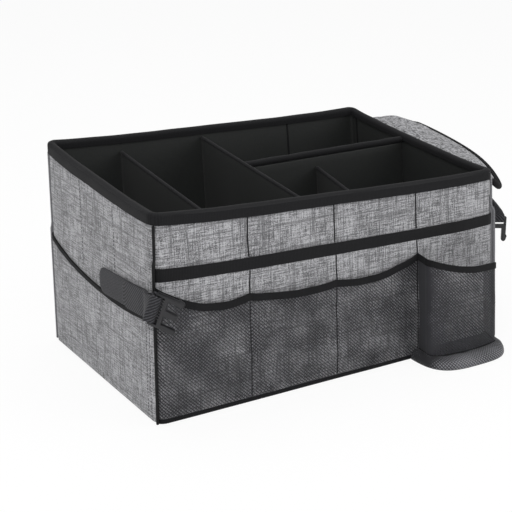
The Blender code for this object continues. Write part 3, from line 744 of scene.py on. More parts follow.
def smooth_points(points: Sequence[Vector], steps: int) -> list[Vector]:
    """Return points on a smooth curve through the given points.

    Args:
        points: The points that the curve passes.
        steps: Steps between each pair of points.

    Returns:
        The finer points.
    """
    padded = [2 * points[0] - points[1], *points, 2 * points[-1] - points[-2]]
    curve = []
    for before, start, end, after in zip(padded, padded[1:], padded[2:], padded[3:]):
        for step in range(steps):
            t = step / steps
            curve.append(0.5 * (2 * start + (end - before) * t
                                + (2 * before - 5 * start + 4 * end - after) * t * t
                                + (3 * start - before - 3 * end + after) * t ** 3))
    curve.append(points[-1].copy())
    return curve


def run_tube(name: str, points: Sequence[Vector], radius: Union[float, Sequence[float]],
             sides: int = 12) -> bpy.types.Object:
    """Run a round piping through points, with a UV map in metres and domed ends.

    Args:
        name: The piece's name.
        points: The points of its middle line.
        radius: Its radius, or one radius for each point.
        sides: Faces round it.

    Returns:
        The new object.
    """
    radii = list(radius) if isinstance(radius, (list, tuple)) else [radius] * len(points)
    rows = []
    last = len(points) - 1
    side = (points[1] - points[0]).normalized().orthogonal()
    for index, point in enumerate(points):
        tangent = (points[min(index + 1, last)] - points[max(index - 1, 0)]).normalized()
        side = (side - tangent * side.dot(tangent)).normalized()
        other = tangent.cross(side)
        rows.append([point + radii[index] * (math.cos(turn) * side + math.sin(turn) * other)
                     for turn in (2 * math.pi * step / sides for step in range(sides + 1))])
    along = path_lengths(points)
    bm = lay_grid(rows, lambda row, column: (along[row], 2 * math.pi * radii[row] * column / sides))
    bmesh.ops.remove_doubles(bm, verts=bm.verts, dist=MERGE)
    ends = [edge for edge in bm.edges if edge.is_boundary]
    caps = bmesh.ops.holes_fill(bm, edges=ends)["faces"]
    for cap in caps:
        bmesh.ops.inset_individual(bm, faces=[cap], thickness=radii[0] * 0.4)
        bmesh.ops.translate(bm, verts=cap.verts, vec=cap.normal * radii[0] * 0.35)
    bmesh.ops.recalc_face_normals(bm, faces=bm.faces)
    obj = link_mesh(name, bm)
    obj.data.shade_smooth()
    return obj


def sew(name: str, points: Sequence[Vector], outward: Vector, length: float = 0.0028,
        pause: float = 0.0010, radius: float = 0.00035) -> bpy.types.Object:
    """Sew a row of stitches along a line.

    Args:
        name: The piece's name.
        points: Close points of the seam line, on the cloth.
        outward: The way that the cloth faces.
        length: Length of a stitch.
        pause: Gap between stitches.
        radius: Radius of the thread.

    Returns:
        The new object.
    """
    bm = bmesh.new()
    travelled, next_start = 0.0, 0.0
    for start, end in zip(points, points[1:]):
        stretch = end - start
        while next_start < travelled + stretch.length:
            centre = start + stretch.normalized() * (next_start - travelled) + outward * radius * 0.4
            along = stretch.normalized()
            across = outward.cross(along).normalized()
            frame_of = Matrix((across, along, across.cross(along))).transposed().to_4x4()
            scale = Matrix.Diagonal((radius, length / 2, radius, 1.0))
            bmesh.ops.create_uvsphere(bm, u_segments=6, v_segments=4, radius=1.0,
                                      matrix=Matrix.Translation(centre) @ frame_of @ scale
                                      @ Matrix.Rotation(math.pi / 2, 4, "X"))
            next_start += length + pause
        travelled += stretch.length
    obj = link_mesh(name, bm)
    obj.data.shade_smooth()
    return obj


@dataclass
class Walls:
    """The outer cloth, the cloth under the base, the black lining, and their seams."""

    form: BoxForm
    shop: Workshop
    rows: int = 44
    columns_long: int = 120
    columns_short: int = 76
    crease: float = 0.0008
    lining_seams: tuple[tuple[Side, float], ...] = ((Side.BACK, 0.283), (Side.RIGHT, 0.86))
    lining_seam: float = 0.0016
    lining_seam_thick: float = 0.0007
    lining_seam_out: float = 0.0001
    wall_seams: tuple[float, float] = (0.345, 0.655)
    wall_seam_foot: float = 0.112
    wall_seam_head: float = 0.002
    pocket_rows: tuple[float, float] = (0.962, 0.942)
    pocket_row_ends: tuple[float, float] = (0.006, 0.104)
    stitch_points: int = 60
    base_columns: int = 48
    base_rows: int = 30

    def steps(self, side: Side) -> int:
        """Steps along a wall."""
        return self.columns_long if side in (Side.FRONT, Side.BACK) else self.columns_short

    def outer(self, side: Side, out: float, low: Level, high: Level, rows: int) -> list[list[Vector]]:
        """Rows of points on a wall's outside, following its ripples.

        Args:
            side: The wall.
            out: Distance outside the outer cloth's outer face, before the ripples.
            low: Height of the bottom edge, or a function of the share along.
            high: Height of the top edge, or a function of the share along.
            rows: Rows of faces.

        Returns:
            The rows.
        """
        near, far = [self.form.wall_path(side, reach, self.steps(side)) for reach in (out, out + PROBE)]
        shares = path_shares(near)
        laid = []
        for row in range(rows + 1):
            line = []
            for start, end, share in zip(near, far, shares):
                bottom = low(share) if callable(low) else low
                top = high(share) if callable(high) else high
                z = bottom + (top - bottom) * row / rows
                lift = self.form.ripple(side, share, z)
                line.append(self.form.settle(*step_out(start, end, lift / PROBE), z))
            laid.append(line)
        return laid

    def upright(self, side: Side, share: float, out: float, low: float, high: float) -> list[Vector]:
        """Close points of an upright line on a wall's outside, following its ripples.

        Args:
            side: The wall.
            share: Share of the way along it.
            out: Distance outside the outer cloth, before the ripples.
            low: Height of its lower end.
            high: Height of its upper end.

        Returns:
            The points, lowest first.
        """
        form = self.form
        near, far = [form.wall_path(side, reach, self.steps(side)) for reach in (out, out + PROBE)]
        shares = path_shares(near)
        column = min(range(len(shares)), key=lambda index: abs(shares[index] - share))
        points = []
        for step in range(self.stitch_points + 1):
            z = low + (high - low) * step / self.stitch_points
            lift = form.ripple(side, shares[column], z)
            points.append(form.settle(*step_out(near[column], far[column], lift / PROBE), z))
        return points

    def build_side_seams(self) -> None:
        """Make the stitched seams down the left and right walls, and the pockets' front rows."""
        form = self.form
        wall_ends = (self.wall_seam_foot, form.height - form.rim_tape_drop - self.wall_seam_head)
        groups = (("wall_seam", self.wall_seams, 0.0, wall_ends),
                  ("pocket_row", self.pocket_rows, form.gap + form.cloth, self.pocket_row_ends))
        for side in (Side.LEFT, Side.RIGHT):
            outward = Vector((-1.0 if side is Side.LEFT else 1.0, 0.0, 0.0))
            for word, shares, out, (low, high) in groups:
                for number, share in enumerate(shares, 1):
                    along = share if side is Side.LEFT else 1 - share
                    points = self.upright(side, along, out, low, high)
                    row = sew(f"{side.name.lower()}_{word}_{number}", points, outward)
                    self.shop.place(row, SEWING_THREAD)

    def build(self) -> None:
        """Make the four outer walls, the four linings and the base's cloths."""
        form = self.form
        foot = form.cloth + form.gap
        for side in Side:
            word = side.name.lower()
            cloth = lay_cloth(f"{word}_cloth", self.outer(side, -form.cloth, foot, form.wall_top, self.rows),
                              form.cloth)
            self.shop.place(cloth, GREY_OXFORD, f"{word}_panel")
            self.build_lining(side)
        self.build_base()
        self.build_side_seams()
        self.build_lining_seams()

    def lining_rows(self, side: Side, inward: float) -> list[list[Vector]]:
        """Rows of points on one wall's lining, which hangs in shallow folds.

        Args:
            side: The wall.
            inward: Distance inside the lining's inner face.

        Returns:
            The rows, lowest first.
        """
        form = self.form
        steps, rows = self.steps(side) // 2, self.rows // 2
        outer, inner = [form.wall_path(side, reach, steps) for reach in (form.lining - form.wall, -form.wall)]
        shares = path_shares(outer)
        laid = []
        foot = form.floor - form.lining - form.gap
        for row in range(rows + 1):
            z = foot + (form.wall_top - foot) * row / rows
            line = []
            for start, end, share in zip(outer, inner, shares):
                fold = noise.noise(Vector((share * 8.0, z * 9.0, 20.0 + side.value * 5.0)))
                fade = min(1.0, 14 * share, 14 * (1 - share)) * min(1.0, 60 * (form.wall_top - z), 40 * z)
                lift = 1.0 + (self.crease * fade * (1.0 + fold) + inward) / form.lining
                line.append(form.settle(*step_out(start, end, lift), z))
            laid.append(line)
        return laid

    def build_lining(self, side: Side) -> None:
        """Make one wall's lining.

        Args:
            side: The wall.
        """
        word = side.name.lower()
        lining = lay_cloth(f"{word}_lining", self.lining_rows(side, 0.0), self.form.lining)
        self.shop.place(lining, LINING_NYLON, f"lining_{word}")

    def build_lining_seams(self) -> None:
        """Make the narrow upright seams where the back and right linings are pieced."""
        for side, share in self.lining_seams:
            rows = self.lining_rows(side, self.lining_seam_out)
            column = round(share * (len(rows[0]) - 1))
            half = self.lining_seam / 2
            seam_rows = []
            for row in rows:
                middle, beside = row[column], (row[column + 1] - row[column]).normalized()
                seam_rows.append([middle + beside * edge for edge in (half, 0.0, -half)])
            seam = lay_cloth(f"{side.name.lower()}_lining_seam", seam_rows, self.lining_seam_thick,
                             round_edge=SEAM_EDGE)
            self.shop.place(seam, HEM_TAPE)

    def build_base(self) -> None:
        """Make the black cloth under the base and the lining over it."""
        form = self.form
        lining_foot = form.floor - form.lining - form.gap
        layers = (("base_cloth", 0.0, 0.0, form.cloth, BLACK_OXFORD, "base_panel"),
                  ("base_lining", form.wall + form.gap, lining_foot, form.lining, LINING_NYLON,
                   "lining_base"))
        for name, inset, low, thickness, recipe, node in layers:
            half_x, half_y = form.width / 2 - inset, form.depth / 2 - inset
            radius = form.inside_radius if inset else form.outside_radius
            laid = []
            for row in range(self.base_rows + 1):
                y = (-1 + 2 * row / self.base_rows) * half_y
                places = [(-1 + 2 * column / self.base_columns) * half_x
                          for column in range(self.base_columns + 1)]
                laid.append([form.settle(*self.round_corner(x, y, half_x, half_y, radius), low)
                             for x in places])
            cloth = lay_cloth(name, laid, thickness)
            self.shop.place(cloth, recipe, node)

    @staticmethod
    def round_corner(x: float, y: float, half_x: float, half_y: float, radius: float) -> Plan:
        """Return a plan point pulled in where it lies outside a rounded corner.

        Args:
            x: Its place across.
            y: Its place from front to back.
            half_x: Half the rectangle's width.
            half_y: Half its depth.
            radius: Radius of its corners.

        Returns:
            The plan point.
        """
        over_x, over_y = abs(x) - (half_x - radius), abs(y) - (half_y - radius)
        if over_x <= 0 or over_y <= 0:
            return x, y
        reach = max(over_x, over_y)
        length = math.hypot(over_x, over_y)
        return (math.copysign(half_x - radius + over_x * reach / length, x),
                math.copysign(half_y - radius + over_y * reach / length, y))


@dataclass
class Rim:
    """The black tape folded over the tops of the walls, whose inner edge ends inner_lift higher."""

    form: BoxForm
    shop: Workshop
    crown: float = 0.0024
    crown_steps: int = 8
    face_rows: int = 3
    inner_lift: float = 0.0035
    wobble: float = 0.0005
    steps: int = 60
    highest_ripple: float = 0.93

    def profile(self) -> list[Plan]:
        """Trace the tape's inner face from its outer edge over the wall to its inner edge.

        Returns:
            Pairs of distance out from the cloth and height.
        """
        form = self.form
        low, top = form.height - form.rim_tape_drop, form.height - form.rim_tape
        shoulder = top - self.crown
        outer, inner = form.gap, -form.wall - form.gap
        centre, half = (outer + inner) / 2, (outer - inner) / 2
        shares = [row / self.face_rows for row in range(self.face_rows)]
        inner_low = low + self.inner_lift
        rising = [(outer, low + (shoulder - low) * share) for share in shares]
        falling = [(inner, inner_low + (shoulder - inner_low) * share) for share in reversed(shares)]
        arch = []
        for step in range(self.crown_steps + 1):
            angle = math.pi * step / self.crown_steps
            arch.append((centre + half * math.cos(angle), shoulder + self.crown * math.sin(angle)))
        return rising + arch + falling

    def build(self) -> None:
        """Make the tape."""
        form = self.form
        rings = []
        for out, z in self.profile():
            ring = []
            for side in Side:
                near, far = [form.wall_path(side, reach, self.steps) for reach in (out, out + PROBE)]
                for start, end, share in zip(near[:-1], far[:-1], path_shares(near)):
                    wave = noise.noise(Vector((share * 7.0, out * 90.0, side.value * 4.7 + 0.3)))
                    place = min(z, form.height * self.highest_ripple)
                    lift = form.ripple(side, share, place) if out > 0 else 0.0
                    loose = self.wobble * (0.1 if side is Side.RIGHT and out > 0 else 0.5)
                    lift += loose * (1 + wave) * (1 if out > 0 else -1)
                    height = z + self.wobble * noise.noise(Vector((share * 9.0, 3.0, side.value * 6.1)))
                    ring.append(form.settle(*step_out(start, end, lift / PROBE),
                                            min(height, form.height - form.rim_tape)))
            ring.append(ring[0].copy())
            rings.append(ring)
        tape = lay_cloth("rim_tape", rings, form.rim_tape, closed=True)
        self.shop.place(tape, BINDING_TAPE, "rim_binding")


@dataclass
class CornerPiping:
    """Piping down each corner, outside the pockets sewn into the same seam, with its flat flange."""

    form: BoxForm
    shop: Workshop
    radius: float = 0.0014
    ramp: float = 0.0072
    steps: int = 60
    front_pocket_top: float = 0.159
    side_pocket_top: float = 0.1175
    front_left_layers: float = 0.0036
    front_right_layers: float = 0.0029
    back_layers: float = 0.0015
    flange: float = 0.0008
    flange_root: float = 0.0002
    uneven: float = 0.06

    def corner_point(self, turn: int, reach: float, z: float) -> Vector:
        """Return a point out along a corner's diagonal.

        Args:
            turn: The corner: 0 front right, 1 back right, 2 back left, 3 front left.
            reach: Distance beyond the rounded cloth.
            z: Height.

        Returns:
            The point.
        """
        form = self.form
        corner_x = (form.width / 2 - form.outside_radius) * (1 if turn in (0, 1) else -1)
        corner_y = (form.depth / 2 - form.outside_radius) * (1 if turn in (1, 2) else -1)
        diagonal = (form.outside_radius + reach) / math.sqrt(2)
        return form.settle(corner_x + math.copysign(diagonal, corner_x),
                           corner_y + math.copysign(diagonal, corner_y), z)

    def build(self) -> None:
        """Make the four runs."""
        form = self.form
        top = form.height - form.rim_tape_drop - form.gap - self.radius / 2
        inner = form.gap + self.radius
        corners = (("front_right", 0, self.front_right_layers, self.front_pocket_top),
                   ("back_right", 1, self.back_layers, self.side_pocket_top),
                   ("back_left", 2, self.back_layers, self.side_pocket_top),
                   ("front_left", 3, self.front_left_layers, self.front_pocket_top))
        for name, turn, layers, pocket_top in corners:
            low = form.cloth + form.gap
            points, roots = [], []
            for step in range(self.steps + 1):
                z = low + (top - low) * step / self.steps
                rise = min(max((z - pocket_top - 2 * self.radius) / self.ramp, 0.0), 1.0)
                reach = inner + layers * (1 - rise * rise * (3 - 2 * rise))
                points.append(self.corner_point(turn, reach, z))
                roots.append(self.corner_point(turn, self.flange_root, z))
            radii = [self.radius * (1 + self.uneven * noise.noise(point * 90)) for point in points]
            piping = run_tube(f"{name}_piping", points, radii)
            recipe = BLACK_PIPING if name == "front_left" else GREY_PIPING
            self.shop.place(piping, recipe, f"piping_{name}")
            flange = lay_cloth(f"{name}_piping_flange", list(zip(roots, points)), self.flange, offset=0.0)
            self.shop.place(flange, recipe)


@dataclass
class Dividers:
    """The four padded dividers and the roll along the cross one."""

    form: BoxForm
    shop: Workshop
    thickness: float = 0.0035
    clearance: float = 0.0006
    edge_radius: float = 0.0021
    roll_radius: float = 0.0035
    left_x: tuple[float, float] = (-0.115, -0.126)
    middle_x: tuple[float, float] = (-0.0135, -0.0215)
    cross_y: float = 0.022
    short_x: tuple[float, float] = (0.077, 0.054)
    drops: tuple[float, float, float, float, float] = (0.017, 0.011, 0.0185, 0.0115, 0.027)
    steps: int = 30
    rows: int = 20
    roll_steps: int = 60
    bow: float = 0.0006
    board_edge: float = 0.0012
    roll_wobble: float = 0.0008

    def wall(self, name: str, back: Plan, front: Plan, top_back: float, top_front: float,
             edge: bool = True) -> None:
        """Make one divider with its taped top edge.

        Args:
            name: The CAD node's name.
            back: Plan point of its back end.
            front: Plan point of its front end.
            top_back: Height at the back end.
            top_front: Height at the front end.
            edge: Whether its top is taped.
        """
        form = self.form
        along = Vector(back) - Vector(front)
        normal = Vector((along.y, -along.x)).normalized()
        low = form.floor + form.gap
        laid = []
        for row in range(self.rows + 1):
            up = row / self.rows
            line = []
            for step in range(self.steps + 1):
                share = step / self.steps
                plan = Vector(front) + along * share
                z = low + (top_front + (top_back - top_front) * share - low) * up
                fade = min(1.0, 8 * share, 8 * (1 - share)) * min(1.0, 6 * up, 6 * (1 - up))
                plan += normal * self.bow * fade * noise.noise(Vector((share * 4.0, z * 14.0, back[0] * 50)))
                line.append(form.settle(plan.x, plan.y, z))
            laid.append(line)
        pad = lay_cloth(name + "_pad", laid, self.thickness, offset=0.0, round_edge=self.board_edge)
        self.shop.place(pad, LINING_NYLON, name)
        if edge:
            top = [point - UP * self.edge_radius / 2 for point in laid[-1]]
            tape = run_tube(name + "_edge", top, self.edge_radius)
            self.shop.place(tape, BINDING_TAPE)

    def build(self) -> None:
        """Make the dividers and the roll."""
        form = self.form
        inside = form.depth / 2 - form.wall - form.gap - form.rim_tape - self.clearance
        left, middle, cross_left_top, cross_right_top, short = [form.height - drop for drop in self.drops]
        self.wall("divider_left", (self.left_x[0], inside), (self.left_x[1], -inside), left, left)
        self.wall("divider_middle", (self.middle_x[0], inside), (self.middle_x[1], -inside), middle, middle)
        share = (self.cross_y + inside) / (2 * inside)
        start = self.middle_x[1] + (self.middle_x[0] - self.middle_x[1]) * share
        cross_left = start + self.thickness / 2 + self.clearance
        cross_right = form.right_x - form.wall - form.gap - form.rim_tape - self.clearance
        self.wall("divider_cross", (cross_right, self.cross_y), (cross_left, self.cross_y),
                  cross_right_top, cross_left_top, edge=False)
        short_back = self.cross_y - self.thickness / 2 - self.clearance
        self.wall("divider_short", (self.short_x[0], short_back), (self.short_x[1], -inside), short, short)
        lift = self.roll_radius + form.gap
        points, radii = [], []
        for step in range(self.roll_steps + 1):
            along = step / self.roll_steps
            x = cross_left + (cross_right - cross_left) * along
            z = cross_left_top + (cross_right_top - cross_left_top) * along + lift
            swell = noise.noise(Vector((along * 9.0, 2.0, 4.0)))
            points.append(form.settle(x, self.cross_y + self.roll_wobble * swell, z))
            radii.append(self.roll_radius * (1 + 0.08 * swell))
        roll = run_tube("divider_cross_padded_edge", points, radii, sides=16)
        self.shop.place(roll, BINDING_TAPE, "divider_cross_roll")


@dataclass
class FrontPocket:
    """The cloth pocket over the front, its binding, the foot tape and the upright seams."""

    form: BoxForm
    shop: Workshop
    walls: Walls
    pocket: float = 0.0012
    binding: float = 0.0018
    top: float = 0.159
    binding_height: float = 0.012
    foot: float = 0.0026
    foot_height: float = 0.0045
    lap: float = 0.001
    seam_width: float = 0.0013
    seam: float = 0.0006
    seam_drift: float = 0.0006
    seam_foot: float = 0.006
    seam_shift: float = 0.001
    seam_above: float = 0.0005
    seam_below: float = 0.0004
    upper_seam_out: float = 0.00009
    lower_seam_lift: float = 0.0001
    seam_steps: int = 40

    def build(self) -> None:
        """Make the pocket, its trims and the seams."""
        form = self.form
        low = self.foot_height + form.gap
        under = self.top - self.binding_height
        cloth = lay_cloth("front_pocket_cloth",
                          self.walls.outer(Side.FRONT, form.gap, low, under, 40), self.pocket)
        self.shop.place(cloth, GREY_OXFORD, "front_pocket")
        tape = lay_cloth("front_pocket_tape",
                         self.walls.outer(Side.FRONT, form.gap, under - self.lap, self.top, 6),
                         self.binding, round_edge=TAPE_EDGE)
        self.shop.place(tape, BINDING_TAPE, "front_pocket_binding")
        foot = lay_cloth("front_foot_binding",
                         self.walls.outer(Side.FRONT, form.gap, form.gap, self.foot_height, 3),
                         self.foot, round_edge=HEM_EDGE)
        self.shop.place(foot, HEM_TAPE, "front_foot_tape")
        self.build_seams()

    def build_seams(self) -> None:
        """Make the narrow black seams that part the front into four."""
        form = self.form
        half = self.seam_width / 2
        stretches = (
            ("upper", self.top + self.seam_above, form.height - form.rim_tape_drop - form.gap,
             self.upper_seam_out),
            ("lower", self.seam_foot, self.top - self.binding_height - self.lap - self.seam_below,
             form.gap + self.pocket + self.lower_seam_lift))
        for number in (1, 2, 3):
            x = form.left_x + form.width * number / 4 + self.seam_shift
            share = (x - form.left_x) / form.width
            for part, low, high, out in stretches:
                rows = []
                for step in range(self.seam_steps + 1):
                    z = low + (high - low) * step / self.seam_steps
                    y = form.front_y - out - form.ripple(Side.FRONT, share, z)
                    middle = x + self.seam_drift * noise.noise(Vector((number * 3.0, z * 30.0, 1.0)))
                    rows.append([form.settle(middle + edge, y, z) for edge in (-half, 0.0, half)])
                seam = lay_cloth(f"front_seam_{number}_{part}", rows, self.seam, round_edge=SEAM_EDGE)
                self.shop.place(seam, HEM_TAPE)


@dataclass
class SidePockets:
    """The cloth pockets on the left and right walls."""

    form: BoxForm
    shop: Workshop
    walls: Walls
    top_back: float = 0.1175
    top_front: float = 0.111
    sag: float = 0.013
    pocket: float = 0.0012
    binding: float = 0.0018
    binding_height: float = 0.0040
    lap: float = 0.0008

    def top(self, share: float) -> float:
        """Return the top edge's height at a share of the way from the back to the front."""
        chord = self.top_back + (self.top_front - self.top_back) * share
        return chord - self.sag * hanging(share)

    def build(self) -> None:
        """Make both pockets with their bindings."""
        form = self.form
        foot = form.cloth + form.gap
        for side in (Side.LEFT, Side.RIGHT):
            word = side.name.lower()

            def top(share: float, side: Side = side) -> float:
                """Height of the top edge at a share along this wall."""
                return self.top(share if side is Side.LEFT else 1 - share)

            cloth = lay_cloth(f"{word}_pocket_cloth", self.walls.outer(
                side, form.gap, foot, lambda share: top(share) - self.binding_height, 28), self.pocket)
            self.shop.place(cloth, GREY_OXFORD, f"{word}_pocket")
            tape = lay_cloth(f"{word}_pocket_tape", self.walls.outer(
                side, form.gap, lambda share: top(share) - self.binding_height - self.lap, top, 4),
                self.binding, round_edge=TAPE_EDGE)
            self.shop.place(tape, HEM_TAPE, f"{word}_pocket_binding")


@dataclass
class MeshPockets:
    """The net over three pockets and its scalloped hem."""

    form: BoxForm
    shop: Workshop
    net: float = 0.0006
    hem: float = 0.0018
    hem_height: float = 0.0075
    at_seams: tuple[float, ...] = (0.142, 0.1215, 0.118, 0.130)
    sags: tuple[float, ...] = (0.011, 0.003, 0.007)
    bulge: float = 0.0034
    full_share: float = 0.65
    soft: float = 0.0016
    soft_from: float = 0.002
    deepest_dent: float = 0.0006
    foot_height: float = 0.0045
    pocket_out: float = 0.0015
    steps: int = 150
    rows: int = 26

    def hem_top(self, x: float) -> float:
        """Return the hem's height at a place along the front.

        Args:
            x: The place.

        Returns:
            The height of its top edge.
        """
        count = len(self.at_seams)
        place = min(max((x - self.form.left_x) * count / self.form.width, 0.0), count - 1.0)
        pocket = min(int(place), count - 2)
        share = place - pocket
        chord = self.at_seams[pocket] + (self.at_seams[pocket + 1] - self.at_seams[pocket]) * share
        return chord - self.sags[pocket] * hanging(share)

    def swell(self, x: float) -> float:
        """Return how far the net stands out at a place along the front."""
        place = max((x - self.form.left_x) * len(self.at_seams) / self.form.width, 0.0)
        return self.bulge * abs(math.sin(math.pi * place)) ** 0.8

    def plan(self, out: float) -> list[Plan]:
        """Trace the net in plan.

        Args:
            out: Distance outside the outer cloth.

        Returns:
            The plan points, from the left corner to the last seam.
        """
        form = self.form
        corner = form.wall_path(Side.FRONT, out, 8)[:form.corner_steps + 1]
        end = form.left_x + form.width * 3 / 4 - form.gap
        start = corner[-1][0]
        return corner + [(start + (end - start) * step / self.steps, corner[-1][1])
                         for step in range(1, self.steps + 1)]

    def point(self, x: float, y: float, z: float, share: float) -> Vector:
        """Return a point of the net, pushed out between the seams.

        Args:
            x: Its place along the front.
            y: Its place before it is pushed out.
            z: Its height.
            share: Share of the way from the foot to the hem.

        Returns:
            The point.
        """
        form = self.form
        along = (x - form.left_x) / form.width
        rise = math.sin(math.pi / 2 * min(share / self.full_share, 1.0))
        soft = self.soft * noise.noise(Vector((x * 48.0, z * 16.0, 8.0)))
        out = self.swell(x) * rise + form.ripple(Side.FRONT, along, z)
        out += max(soft, -self.deepest_dent) * rise * min(1.0, self.swell(x) / self.soft_from)
        return form.settle(x, y - out, z)

    def build(self) -> None:
        """Make the net and its hem."""
        form = self.form
        low = self.foot_height + form.gap
        plan = self.plan(self.pocket_out + form.gap)
        rows = []
        for row in range(self.rows + 1):
            share = row / self.rows
            rows.append([self.point(x, y, low + (self.hem_top(x) - self.hem_height - low) * share, share)
                         for x, y in plan])
        net = lay_cloth("pocket_net", rows, self.net)
        self.shop.place(net, POCKET_NET, "mesh_pockets")
        hem_rows = [[self.point(x, y, self.hem_top(x) + height, 1.0) for x, y in plan]
                    for height in hem_heights(self.hem_height)]
        hem = lay_cloth("pocket_net_hem", hem_rows, self.hem, round_edge=HEM_EDGE)
        self.shop.place(hem, HEM_TAPE, "mesh_pockets_hem")


@dataclass
class BoxPocket:
    """The gusseted net pocket at the right end of the front, with its soft foot.

    The covers say how close the net looks on the gussets, where it is folded double and carries painted
    shade, and towards the foot, where it carries painted shade alone; shaded says how far that reaches.
    The foot's side is given by widths, 0 under the net and 1 on the ground, with their heights.
    """

    form: BoxForm
    shop: Workshop
    reach: float = 0.030
    slant: float = 0.006
    margin: float = 0.003
    right_margin: float = 0.0045
    left_lean: float = 0.0050
    shaded: float = 0.020
    left_cover: float = 1.3
    right_cover: float = 0.5
    low_cover: float = 0.7
    pleat: float = 0.001
    pleat_out: float = 0.006
    left_corner: float = 0.016
    right_corner: float = 0.009
    right_turn: tuple[float, float, float] = (0.001, 0.002, 0.007)
    bulge: float = 0.003
    hem_left: float = 0.130
    hem_right: float = 0.114
    hem_sag: float = 0.005
    right_sink: float = 0.020
    hem: float = 0.0018
    hem_height: float = 0.0075
    net: float = 0.0006
    soft: float = 0.0012
    rows: int = 28
    foot_reach: float = 0.0515
    foot_left: float = 0.0105
    foot_right: float = 0.0028
    foot_height: float = 0.0095
    foot_cloth: float = 0.0010
    foot_soft: float = 0.0018
    foot_side: tuple[tuple[float, float], ...] = (
        (0.97, 0.0002), (1.0, 0.0014), (1.0, 0.0034), (0.96, 0.0058), (0.84, 0.0082), (0.6, 0.0098),
        (0.3, 0.0098))
    floor_sink: float = 0.0004
    foot_seam: float = 0.0013
    foot_seam_out: float = 0.0008
    foot_seam_rise: float = 0.0006
    foot_steps: int = 56
    squareness: float = 3.2
    pocket_out: float = 0.0015
    wall_out: float = 0.0032

    def ends(self) -> tuple[float, float]:
        """Return where the left and right gussets are sewn on."""
        return (self.form.left_x + self.form.width * 3 / 4 + self.margin,
                self.form.right_x - self.form.outside_radius - self.right_margin)

    def plan(self) -> list[Vector]:
        """Trace the net in plan.

        Returns:
            Fine plan points: left gusset, front, right gusset.
        """
        left, right = self.ends()
        wall_y = self.form.front_y - self.pocket_out - self.form.gap
        front_y = self.form.front_y - self.reach
        pleat, lean, turn = self.pleat, self.left_lean, self.left_corner
        turn_in, turn_start, turn_end = self.right_turn
        corners = [(left, wall_y), (left - lean * 0.2 + pleat * 0.4, wall_y - self.pleat_out),
                   (left - lean / 2 + pleat, (wall_y + front_y) / 2),
                   (left - lean * 0.8 + turn * 0.12, front_y + turn * 0.6),
                   (left - lean + turn * 0.35, front_y + turn * 0.22),
                   (left - lean + turn, front_y), ((left + right) / 2, front_y - self.bulge),
                   (right - self.slant - self.right_corner, front_y),
                   (right - self.slant - turn_in, front_y + turn_start),
                   (right - self.slant * 0.8, front_y + turn_end),
                   (right - self.slant / 2, (wall_y + front_y) / 2), (right, wall_y)]
        return smooth_points([Vector((x, y, 0.0)) for x, y in corners], 6)

    def hem_top(self, x: float) -> float:
        """Return the hem's height at a place on the front.

        Args:
            x: The place.

        Returns:
            The height of its top edge.
        """
        left, right = self.ends()
        share = min(max((x - left) / (right - left), 0.0), 1.0)
        chord = self.hem_left + (self.hem_right - self.hem_left) * share
        return chord - self.hem_sag * hanging(share)

    def build(self) -> None:
        """Make the net, its hem and the foot."""
        form = self.form
        plan = self.plan()
        low = self.foot_height + form.gap
        hem_tops = [self.hem_top(point.x) - self.gusset_drop(point) for point in plan]
        rows = []
        for row in range(self.rows + 1):
            share = row / self.rows
            line = []
            for point, hem_top in zip(plan, hem_tops):
                z = low + (hem_top - self.hem_height - low) * share
                soft = self.soft * noise.noise(Vector((point.x * 45.0, point.y * 45.0, z * 24.0)))
                front = min(1.0, max(0.0, (form.front_y - point.y) / self.reach))
                line.append(form.settle(point.x, point.y - soft * front * math.sin(math.pi * share), z))
            rows.append(line)
        net = lay_cloth("box_pocket_net", rows, self.net)
        self.darken_gussets(net)
        self.shop.place(net, POCKET_NET, "box_pocket_mesh")
        hem_rows = [[form.settle(point.x, point.y, hem_top + height)
                     for point, hem_top in zip(plan, hem_tops)] for height in hem_heights(self.hem_height)]
        hem = lay_cloth("box_pocket_tape", hem_rows, self.hem, round_edge=HEM_EDGE)
        self.shop.place(hem, HEM_TAPE, "box_pocket_hem")
        self.build_foot(plan)

    def gusset_drop(self, point: Vector) -> float:
        """Return how far the hem sinks at a place, which it does on the right gusset alone.

        Args:
            point: Plan point of the place.

        Returns:
            The distance, larger nearer the wall.
        """
        if point.x < sum(self.ends()) / 2:
            return 0.0
        depth = (self.form.front_y - point.y) / self.reach
        return self.right_sink * (1.0 - min(max(depth, 0.0), 1.0))

    def darken_gussets(self, net: bpy.types.Object) -> None:
        """Mark where the net is drawn closer: on the gussets, folded double and with painted shade, fading
        out over the front, and as painted shade towards the foot.

        Args:
            net: The net, which gets the attribute.
        """
        form = self.form
        left, right = self.ends()
        front_y = form.front_y - self.reach
        darkening = net.data.attributes.new(NET_DARKENING, "FLOAT", "POINT")
        for vert in net.data.vertices:
            first, last = [form.settle(x, front_y, vert.co.z).x
                           for x in (left - self.left_lean, right - self.slant)]
            depth = (form.front_y - vert.co.y) / self.reach
            # Painted shade: the net is drawn closer, so darker, towards the foot
            low = self.low_cover * (1.0 - (vert.co.z - self.foot_height) / self.shaded)
            # Doubled net with painted shade on it, on both gussets
            near_left = self.left_cover - (vert.co.x - first) / self.shaded
            near_right = self.right_cover * min(1.0, 2.0 * depth) - 1.5 * (last - vert.co.x) / self.shaded
            darkening.data[vert.index].value = max(0.0, min(self.left_cover, near_left),
                                               min(self.right_cover, near_right), low)

